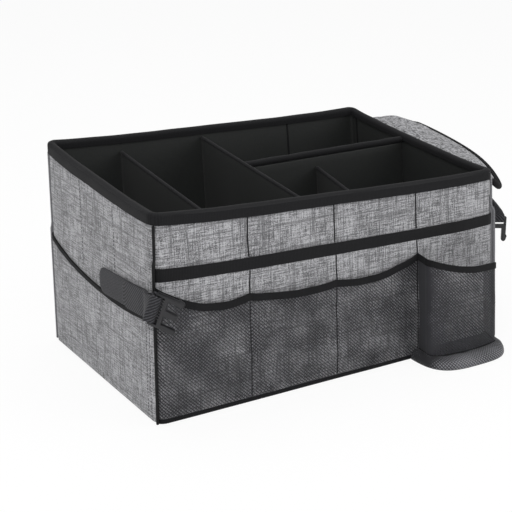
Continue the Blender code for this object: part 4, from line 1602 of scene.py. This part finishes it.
    def foot_ring(self, wide: float, z: float, shrink: float = 1.0) -> list[Vector]:
        """Points of one level of the foot, a squarish half round in plan.

        Args:
            wide: 0 for the outline under the net, 1 for the outline on the ground.
            z: Height of the level.
            shrink: Share of the outline's size, for levels inside the pocket.

        Returns:
            The points, left to right.
        """
        form = self.form
        net_left, net_right = self.ends()
        left, right = net_left - self.foot_left * wide, net_right + self.foot_right * wide
        reach = self.reach + (self.foot_reach - self.reach) * wide
        middle, half = (left + right) / 2, (right - left) / 2 * shrink
        wall_y, power = form.front_y - self.wall_out, 2 / self.squareness
        ring = []
        for step in range(self.foot_steps + 1):
            angle = math.pi * step / self.foot_steps
            cosine, sine = math.cos(angle), math.sin(angle)
            x = middle - half * math.copysign(abs(cosine) ** power, cosine)
            y = wall_y - (reach - self.wall_out) * shrink * max(sine, 0.0) ** power
            soft = self.foot_soft * noise.noise(Vector((x * 75, y * 75, wide * 2))) * math.sin(math.pi * wide)
            ring.append(form.settle(x, y, z + soft))
        return ring

    def build_foot(self, plan: Sequence[Vector]) -> None:
        """Make the soft foot that spreads on the ground and closes the pocket, and its seam.

        Args:
            plan: Plan points of the net above it.
        """
        form = self.form
        floor = self.foot_height - self.foot_cloth - self.floor_sink
        rows = [self.foot_ring(wide, z) for wide, z in (*self.foot_side, (0.0, floor))]
        rows += [self.foot_ring(0.0, floor, shrink) for shrink in (0.75, 0.5, 0.25, 0.02)]
        foot = lay_cloth("box_pocket_net_foot", rows, self.foot_cloth)
        # Painted shade: the foot's net is drawn closer, so darker, near the seam under the net, fading out
        # towards the ground
        darkening = foot.data.attributes.new(NET_DARKENING, "FLOAT", "POINT")
        for vert in foot.data.vertices:
            outward = (form.front_y - self.reach - self.bulge - vert.co.y) / (self.foot_reach - self.reach)
            darkening.data[vert.index].value = min(1.0, max(0.0, 1.0 - 2.2 * outward))
        self.shop.place(foot, FOOT_NET, "box_pocket_foot")
        seam = [form.settle(point.x, point.y - self.foot_seam_out, self.foot_height + self.foot_seam_rise)
                for point in plan]
        piping = run_tube("box_pocket_foot_seam", seam, self.foot_seam, sides=8)
        self.shop.place(piping, BLACK_PIPING)


def weave_strap(name: str, stations: Sequence[tuple[Vector, Vector]], width: float, thickness: float,
                end_round: float = 0.0, rounded: tuple[bool, bool] = (False, False)) -> bpy.types.Object:
    """Run webbing through stations of a middle point and the direction of its width.

    Args:
        name: The piece's name.
        stations: Middle points with width directions.
        width: Width of the webbing.
        thickness: Its thickness.
        end_round: Radius of a rounded end's corners.
        rounded: Whether the first and the last end are rounded.

    Returns:
        The new object.
    """
    middles = smooth_points([point for point, _ in stations], 6)
    acrosses = smooth_points([across for _, across in stations], 6)
    reach = path_lengths(middles)
    rows = []
    for column in range(WEBBING_COLUMNS + 1):
        place = -1 + 2 * column / WEBBING_COLUMNS
        line = []
        for point, across, distance in zip(middles, acrosses, reach):
            half = width / 2
            for use, far in zip(rounded, (distance, reach[-1] - distance)):
                if use and far < end_round:
                    half -= end_round * (1 - math.sqrt(1 - (1 - far / end_round) ** 2)) * 0.8
            line.append(point + across.normalized() * place * half)
        rows.append(line)
    return lay_cloth(name, rows, thickness, offset=0.0, round_edge=WEBBING_EDGE)


@dataclass
class BuckleHalf:
    """A moulded male buckle half: bar, webbing slot, bridge, two barbed arms and a tongue."""

    shop: Workshop
    width: float = 0.0335
    thickness: float = 0.0050
    bar: float = 0.0030
    loop_radius: float = 0.0042
    lead: float = 0.0050
    side_rail: float = 0.0024
    bridge: float = 0.0040
    arm_length: float = 0.0150
    arm: float = 0.0046
    arm_tip: float = 0.0016
    barb: float = 0.0014
    barb_length: float = 0.0075
    tongue: float = 0.0060
    tongue_tip: float = 0.0030
    tongue_length: float = 0.0125
    slot_slack: float = 0.0020
    webbing: float = 0.0014
    gap: float = 0.0003
    rounding: float = 0.0005
    sharp_angle: float = 0.6
    loop_steps: int = 6

    def outline(self) -> list[Plan]:
        """Trace the buckle half's outline.

        Returns:
            Plan points of its right half, from the bar to the tongue.
        """
        half = self.width / 2
        bridge = self.slot_end() + self.bridge
        tip = bridge + self.arm_length
        barb = tip - self.barb_length
        tongue = bridge + self.tongue_length
        shoulder = (self.arm - self.arm_tip) / 2
        return [(half, -self.bar / 2), (half, barb), (half + self.barb, barb + self.barb),
                (half, tip - self.barb), (half - shoulder, tip), (half - self.arm + shoulder, tip),
                (half - self.arm, tip - self.barb), (half - self.arm, bridge),
                (self.tongue / 2, bridge), (self.tongue / 2, tongue - self.barb),
                (self.tongue_tip / 2, tongue)]

    def slot_end(self) -> float:
        """Return how far the webbing slot reaches from the bar."""
        return self.loop_radius + self.webbing / 2 + self.gap + self.slot_slack

    def build(self, name: str, pivot: Vector, along: Vector, away: Vector, body: Body, node: str) -> None:
        """Make a buckle half with rounded edges.

        Args:
            name: The piece's name.
            pivot: Middle of its bar.
            along: The way that it points.
            away: The way that its face looks.
            body: The body that it rides on.
            node: The CAD node that it stands for.
        """
        right = self.outline()
        curve = bpy.data.curves.new(name, "CURVE")
        curve.dimensions = "2D"
        curve.fill_mode = "BOTH"
        curve.extrude = self.thickness / 2
        slot_half = self.width / 2 - self.side_rail
        slot = [(-slot_half, self.bar / 2), (slot_half, self.bar / 2),
                (slot_half, self.slot_end()), (-slot_half, self.slot_end())]
        for points in (right + [(-x, y) for x, y in reversed(right)], slot):
            spline = curve.splines.new("POLY")
            spline.points.add(len(points) - 1)
            for target, (x, y) in zip(spline.points, points):
                target.co = (x, y, 0.0, 1.0)
            spline.use_cyclic_u = True
        obj = bpy.data.objects.new(name, curve)
        bpy.context.scene.collection.objects.link(obj)
        graph = bpy.context.evaluated_depsgraph_get()
        mesh = bpy.data.meshes.new_from_object(obj.evaluated_get(graph), depsgraph=graph)
        bpy.data.objects.remove(obj)
        bm = bmesh.new()
        bm.from_mesh(mesh)
        bmesh.ops.remove_doubles(bm, verts=bm.verts, dist=MERGE)
        bmesh.ops.dissolve_limit(bm, angle_limit=0.02, verts=bm.verts, edges=bm.edges)
        sharp = [edge for edge in bm.edges
                 if edge.is_manifold and edge.calc_face_angle(0.0) > self.sharp_angle]
        bmesh.ops.bevel(bm, geom=sharp, offset=self.rounding, offset_type="OFFSET", segments=2, profile=0.5,
                        affect="EDGES", material=-1, clamp_overlap=True)
        frame_of = Matrix((along.cross(away), along, away)).transposed().to_4x4()
        bmesh.ops.transform(bm, matrix=Matrix.Translation(pivot) @ frame_of, verts=bm.verts)
        bmesh.ops.recalc_face_normals(bm, faces=bm.faces)
        piece = link_mesh(name, bm)
        piece.data.shade_smooth()
        piece.data.set_sharp_from_angle(angle=math.radians(35))
        self.shop.place(piece, ACETAL, node, body=body)

    def loop(self, pivot: Vector, along: Vector, away: Vector, across: Vector) -> list[tuple[Vector, Vector]]:
        """Take the webbing round the bar, in on the wall's side and out on the far side.

        Args:
            pivot: Middle of the bar.
            along: The way that the buckle half points.
            away: The way that its face looks.
            across: Direction of the webbing's width.

        Returns:
            Stations of a middle point and the direction of the width.
        """
        points = []
        for step in range(self.loop_steps + 1):
            angle = math.pi * step / self.loop_steps - math.pi / 2
            points.append(pivot + self.loop_radius * (math.cos(angle) * along + math.sin(angle) * away))
        back = self.lead * along
        return [(point, across) for point in (points[0] - back, *points, points[-1] - back)]


@dataclass
class LeftStrap:
    """Doubled webbing on the left wall, which holds its buckle half past the front corner."""

    form: BoxForm
    shop: Workshop
    buckle: BuckleHalf
    width: float = 0.0275
    thickness: float = 0.0014
    start_y: float = -0.008
    tail_y: float = -0.064
    height_start: float = 0.1128
    height_corner: float = 0.1228
    turn: float = math.radians(45)
    corner_slack: float = 0.0018
    inset_x: float = -0.0055
    standoff: float = 0.0095
    buckle_height: float = 0.1255
    droop: float = math.radians(20)
    corner_out: float = 0.0075
    wall_out: float = 0.0034
    wall_steps: int = 4
    corner_twist: float = 0.25
    end_round: float = 0.012

    def build(self) -> None:
        """Make the strap and its buckle half."""
        form = self.form
        pivot = form.settle(form.left_x + self.inset_x, form.front_y - self.standoff, self.buckle_height)
        level = math.cos(self.droop)
        along = Vector((level * math.sin(self.turn), -level * math.cos(self.turn), -math.sin(self.droop)))
        away = Vector((-math.cos(self.turn), -math.sin(self.turn), 0.0))
        across = away.cross(along)
        corner_y = form.front_y + form.outside_radius

        def strand(start_y: float, out: float) -> list[tuple[Vector, Vector]]:
            """Take one layer along the wall, then half round the corner outside the piping.

            Args:
                start_y: Where the layer starts.
                out: Its distance outside the wall's cloth.

            Returns:
                Stations of a middle point and the direction of the width.
            """
            stations = []
            for step in range(self.wall_steps + 1):
                y = start_y + (corner_y - start_y) * step / self.wall_steps
                rise = (self.start_y - y) / (self.start_y - corner_y)
                z = self.height_start + (self.height_corner - self.height_start) * rise
                stations.append((form.settle(form.left_x - out, y, z), UP))
            radius = form.outside_radius + self.corner_out + self.corner_slack + out - self.wall_out
            half_turn = self.turn / 2
            place = form.settle(form.left_x + form.outside_radius - radius * math.cos(half_turn),
                                corner_y - radius * math.sin(half_turn), self.height_corner)
            return stations + [(place, UP.lerp(across, self.corner_twist).normalized())]

        upper_out = self.wall_out + self.thickness + 2 * form.gap
        route = (strand(self.start_y, self.wall_out) + self.buckle.loop(pivot, along, away, across)
                 + list(reversed(strand(self.tail_y, upper_out))))
        strap = weave_strap("left_webbing", route, self.width, self.thickness, self.end_round, (True, True))
        self.shop.place(strap, TWILL_WEBBING, "left_strap")
        self.buckle.build("left_buckle_half", pivot, along, away, Body.LEFT_BUCKLE, "left_buckle")


@dataclass
class RightTab:
    """Short doubled webbing under the flap, with its buckle half hanging from the fold."""

    form: BoxForm
    shop: Workshop
    buckle: BuckleHalf
    width: float = 0.0275
    thickness: float = 0.0014
    drop: float = 0.021
    top_inset: float = 0.0365
    seam: float = 0.008
    buckle_inset: float = 0.0275
    buckle_drop: float = 0.0725
    standoff: float = 0.0215
    turn: float = math.radians(59)
    steps: int = 5

    def build(self) -> None:
        """Make the tab and its buckle half."""
        form = self.form
        pivot = form.settle(form.right_x + self.standoff, form.front_y + self.buckle_inset,
                            form.height - self.buckle_drop)
        along, away = Vector((0.0, 0.0, -1.0)), Vector((math.cos(self.turn), math.sin(self.turn), 0.0))
        across = away.cross(along)
        inner_out = 3 * form.gap + self.thickness / 2
        outer_out = inner_out + self.thickness + 2 * form.gap

        def side(out: float, turned: float) -> list[tuple[Vector, Vector]]:
            """Take one layer from the wall down to the bar.

            Args:
                out: Its distance outside the wall's cloth.
                turned: -1 for the side of the bar that faces the wall, 1 for the other one.

            Returns:
                Stations of a middle point and the direction of the width.
            """
            def sewn(inset: float, down: float) -> Vector:
                """Return a point of the tab on the wall."""
                return form.settle(form.right_x + out, form.front_y + self.top_inset + inset,
                                   form.height - self.drop - down)

            start, bend = sewn(0.0, 0.0), sewn(0.0, self.seam)
            on_wall = (sewn(self.width / 2, 0.0) - sewn(-self.width / 2, 0.0)).normalized()
            end = pivot + turned * self.buckle.loop_radius * away - self.buckle.lead * along
            shares = [step / self.steps for step in range(self.steps)]
            return [(start, on_wall)] + [(bend.lerp(end, share), on_wall.lerp(across, share).normalized())
                                         for share in shares]

        route = (side(inner_out, -1.0) + self.buckle.loop(pivot, along, away, across)
                 + list(reversed(side(outer_out, 1.0))))
        tab = weave_strap("right_webbing", route, self.width, self.thickness)
        self.shop.place(tab, TWILL_WEBBING, "right_tab")
        self.buckle.build("right_buckle_half", pivot, along, away, Body.RIGHT_BUCKLE, "right_buckle")


@dataclass
class SideFlap:
    """The padded grey flap under the right rim and the black piping round its edge.

    The piping grows thicker from thick_from on, an angle round the outline, and swells to the front.
    """

    form: BoxForm
    shop: Workshop
    thickness: float = 0.0020
    root_drop: float = 0.0096
    length: float = 0.2095
    middle_y: float = -0.001
    reach: float = 0.0645
    squareness: float = 0.29
    taper: float = 0.485
    taper_power: float = 1.1
    edge_drop: float = 0.0102
    front_droop: float = 0.033
    droop_power: float = 8.0
    crown: float = 0.0022
    dimple: float = 0.0006
    pressure: float = 4.0
    frames: int = 20
    rise: float = 0.0045
    fall: float = 0.0012
    root_slope: float = 0.12
    end_angle: float = 0.02
    piping: float = 0.0018
    swell: float = 0.9
    thick_from: float = 0.62
    thick_over: float = 0.2
    thinnest: float = 0.3
    piping_press: float = 0.0004
    steps: int = 60
    rows: int = 12

    @property
    def root_x(self) -> float:
        """Where the flap's hinge line lies."""
        return self.form.right_x + self.form.rim_tape + 2 * self.form.gap + self.thickness / 2

    def root(self, y: float) -> Vector:
        """Return a point of the hinge line.

        Args:
            y: Its place from front to back.

        Returns:
            The point.
        """
        form = self.form
        middle, front, back = [form.settle(self.root_x, place, form.height - self.root_drop)
                               for place in (self.middle_y, form.front_y, -form.front_y)]
        return middle + (back - front) * (y - self.middle_y) / form.depth

    def edge(self, angle: float) -> Vector:
        """Return a point of the outline.

        Args:
            angle: Angle round it, from 0 at the back to half a turn at the front.

        Returns:
            The point.
        """
        forward = (1 - math.cos(angle)) / 2
        taper = 1 - self.taper * forward ** self.taper_power
        fullness = math.sin(angle) ** self.squareness
        y = self.middle_y + self.length / 2 * math.cos(angle)
        z = self.form.height - self.edge_drop - self.front_droop * fullness * forward ** self.droop_power
        return self.form.settle(self.root_x + self.reach * fullness * taper, y, z)

    def inflate(self, pad: bpy.types.Object, border: Sequence[Vector]) -> None:
        """Fill the pad by a cloth simulation with its border held, then round it once.

        Args:
            pad: The pad, a closed shell of close faces.
            border: Points of its sewn edge, which stay where they are.
        """
        rest = [vert.co.copy() for vert in pad.data.vertices]
        held = pad.vertex_groups.new(name="sewn_edge")
        held.add([index for index, point in enumerate(rest)
                  if min((point - edge).length for edge in border) < self.thickness * 0.8], 1.0, "REPLACE")
        cloth = pad.modifiers.new("filling", "CLOTH")
        settings = cloth.settings
        settings.quality = 6
        settings.mass = 0.1
        settings.use_pressure = True
        settings.uniform_pressure_force = self.pressure
        settings.vertex_group_mass = held.name
        settings.shrink_min = -0.03
        settings.effector_weights.gravity = 0.0
        cloth.point_cache.frame_start, cloth.point_cache.frame_end = 1, self.frames
        for step in range(1, self.frames + 1):
            bpy.context.scene.frame_set(step)
        graph = bpy.context.evaluated_depsgraph_get()
        filled = pad.evaluated_get(graph).to_mesh()
        moved = [vert.co.copy() for vert in filled.vertices]
        pad.evaluated_get(graph).to_mesh_clear()
        pad.modifiers.clear()
        bpy.context.scene.frame_set(1)
        shifts = [end - start for start, end in zip(rest, moved)]
        up = min(1.0, self.rise / max(shift.z for shift in shifts))
        down = min(1.0, self.fall / max(-shift.z for shift in shifts))
        for vert, start, shift in zip(pad.data.vertices, rest, shifts):
            room = self.root_slope * max(0.0, (start - self.root(start.y)).length - self.thickness)
            vert.co = start + Vector((0.0, 0.0, min(shift.z * (up if shift.z > 0 else down), room)))
        pad.vertex_groups.clear()
        smooth = pad.modifiers.new("rounding", "SUBSURF")
        smooth.levels = smooth.render_levels = 1
        bake_modifiers(pad)
        LOG.info("filled %s, scaled by %.2f up and %.2f down", pad.name, up, down)

    def build(self) -> None:
        """Make the padded top and underside, and the piping."""
        span = math.pi - 2 * self.end_angle
        angles = [math.pi - self.end_angle - span * step / self.steps for step in range(self.steps + 1)]
        full = [self.piping * (1 + self.swell * ((1 - math.cos(angle)) / 2) ** 4) for angle in angles]
        radii = [radius * min(1.0, max(self.thinnest, (angle - self.thick_from) / self.thick_over))
                 for radius, angle in zip(full, angles)]
        edges = [self.edge(angle) for angle in angles]
        last = len(edges) - 1
        inward = [UP.cross(edges[min(index + 1, last)] - edges[max(index - 1, 0)]).normalized()
                  for index in range(last + 1)]
        inner = [edge + way * (radius - self.piping_press) for edge, way, radius in zip(edges, inward, full)]
        rows = []
        for row in range(self.rows + 1):
            share = row / self.rows
            line = []
            for place, edge in enumerate(inner):
                side = place / last
                puff = self.crown * math.sin(math.pi * share ** 0.8) * min(1.0, 6 * side, 6 * (1 - side))
                dimple = self.dimple * noise.noise(Vector((side * 9.0, share * 4.0, 5.0)))
                line.append(self.root(edge.y).lerp(edge, share) + UP * (puff + dimple * (puff > 0.001)))
            rows.append(line)
        pad = lay_cloth("side_flap_pad", rows, self.thickness, offset=0.0)
        self.inflate(pad, [point for line in (rows[0], rows[-1]) for point in line])
        self.shop.place(pad, FLAP_OXFORD, "side_flap", body=Body.FLAP)
        path = [edge + way * (whole - own) for edge, way, whole, own in zip(edges, inward, full, radii)]
        piping = run_tube("side_flap_edge_piping", path, radii)
        self.shop.place(piping, BLACK_PIPING, "side_flap_piping", body=Body.FLAP)


@dataclass
class Studio:
    """The pale floor, the soft lamps and the camera at the photograph's angle."""

    camera_at: tuple[float, float, float] = (-0.7265, -1.1831, 0.6039)
    azimuth: float = math.radians(30.937)
    elevation: float = math.radians(20.074)
    roll: float = math.radians(-0.126)
    focal_pixels: float = 1373.1
    image_pixels: int = 512
    sensor_mm: float = 36.0
    aim: tuple[float, float, float] = (0.0, 0.0, 0.1)
    floor_half: float = 6.0
    floor_drop: float = 0.0005
    floor_glow: float = 0.9
    world_light: float = 0.55

    def build(self) -> None:
        """Make the stage, lamps, world and camera."""
        self.build_floor()
        self.build_light()
        self.build_camera()

    def build_floor(self) -> None:
        """Make a wide pale floor that keeps the shadow and looks white to the camera."""
        bm = bmesh.new()
        bmesh.ops.create_grid(bm, x_segments=1, y_segments=1, size=self.floor_half)
        floor = link_mesh("studio_floor", bm)
        floor.location = (0.0, 0.0, -self.floor_drop)
        material, tree, shader = new_material("pale_paper_sweep")
        fill(tree, shader, {"Base Color": linear("#f2f2f2"), "Roughness": 0.9})
        glow = add_node(tree, "ShaderNodeEmission", {"Color": (1.0, 1.0, 1.0, 1.0), "Strength": 1.0})
        rays = add_node(tree, "ShaderNodeLightPath", {})
        seen = add_node(tree, "ShaderNodeMath", {
            0: rays.outputs["Is Camera Ray"], 1: self.floor_glow}, operation="MULTIPLY")
        mix = add_node(tree, "ShaderNodeMixShader", {
            0: seen.outputs[0], 1: shader.outputs[0], 2: glow.outputs[0]})
        tree.links.new(mix.outputs[0], tree.nodes["Material Output"].inputs["Surface"])
        floor.data.materials.append(material)

    def build_light(self) -> None:
        """Make the world and three soft lamps."""
        world = bpy.data.worlds.new("pale_studio")
        bpy.context.scene.world = world
        world.use_nodes = True
        tree = world.node_tree
        back = tree.nodes["Background"]
        back.inputs["Color"].default_value = (1.0, 1.0, 1.0, 1.0)
        rays = add_node(tree, "ShaderNodeLightPath", {})
        strength = add_node(tree, "ShaderNodeMapRange", {
            "Value": rays.outputs["Is Camera Ray"], "To Min": self.world_light, "To Max": 1.0})
        tree.links.new(strength.outputs[0], back.inputs["Strength"])
        lamps = (("key", (-1.1, -1.3, 1.7), 22.0, 1.2), ("fill", (1.4, -1.2, 1.1), 9.0, 1.5),
                 ("top", (0.0, 0.4, 1.9), 12.0, 1.6))
        for name, place, power, size in lamps:
            light = bpy.data.lights.new(name, "AREA")
            light.energy = power
            light.size = size
            lamp = bpy.data.objects.new(name, light)
            lamp.location = place
            lamp.rotation_mode = "QUATERNION"
            lamp.rotation_quaternion = (Vector(self.aim) - Vector(place)).to_track_quat("-Z", "Y")
            bpy.context.scene.collection.objects.link(lamp)
        bpy.context.scene.view_settings.view_transform = "Standard"

    def build_camera(self) -> None:
        """Make the camera."""
        azimuth, elevation = self.azimuth, self.elevation
        forward = Vector((math.sin(azimuth) * math.cos(elevation), math.cos(azimuth) * math.cos(elevation),
                          -math.sin(elevation)))
        level = Vector((math.cos(azimuth), -math.sin(azimuth), 0.0))
        above = level.cross(forward)
        right = math.cos(self.roll) * level + math.sin(self.roll) * above
        top = math.cos(self.roll) * above - math.sin(self.roll) * level
        data = bpy.data.cameras.new("photo_camera")
        data.sensor_width = self.sensor_mm
        data.lens = self.sensor_mm * self.focal_pixels / self.image_pixels
        camera = bpy.data.objects.new("photo_camera", data)
        camera.matrix_world = (Matrix.Translation(Vector(self.camera_at))
                               @ Matrix((right, top, -forward)).transposed().to_4x4())
        bpy.context.scene.collection.objects.link(camera)
        bpy.context.scene.camera = camera


def main() -> None:
    """Build the organizer's pieces in order, then the studio."""
    logging.basicConfig(level=logging.INFO, format="%(name)s: %(message)s")
    form = BoxForm()
    shop = Workshop()
    Studio().build()
    for node in ("front_board", "right_board", "back_board", "left_board", "base_board"):
        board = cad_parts[node]
        board.data.materials.clear()
        board.data.materials.append(shop.finish(PRESSED_BOARD))
    walls, buckle = Walls(form, shop), BuckleHalf(shop)
    for part in (walls, Rim(form, shop), CornerPiping(form, shop), Dividers(form, shop),
                 FrontPocket(form, shop, walls), SidePockets(form, shop, walls), MeshPockets(form, shop),
                 BoxPocket(form, shop), LeftStrap(form, shop, buckle), RightTab(form, shop, buckle),
                 SideFlap(form, shop)):
        part.build()


if __name__ == "__main__":
    main()
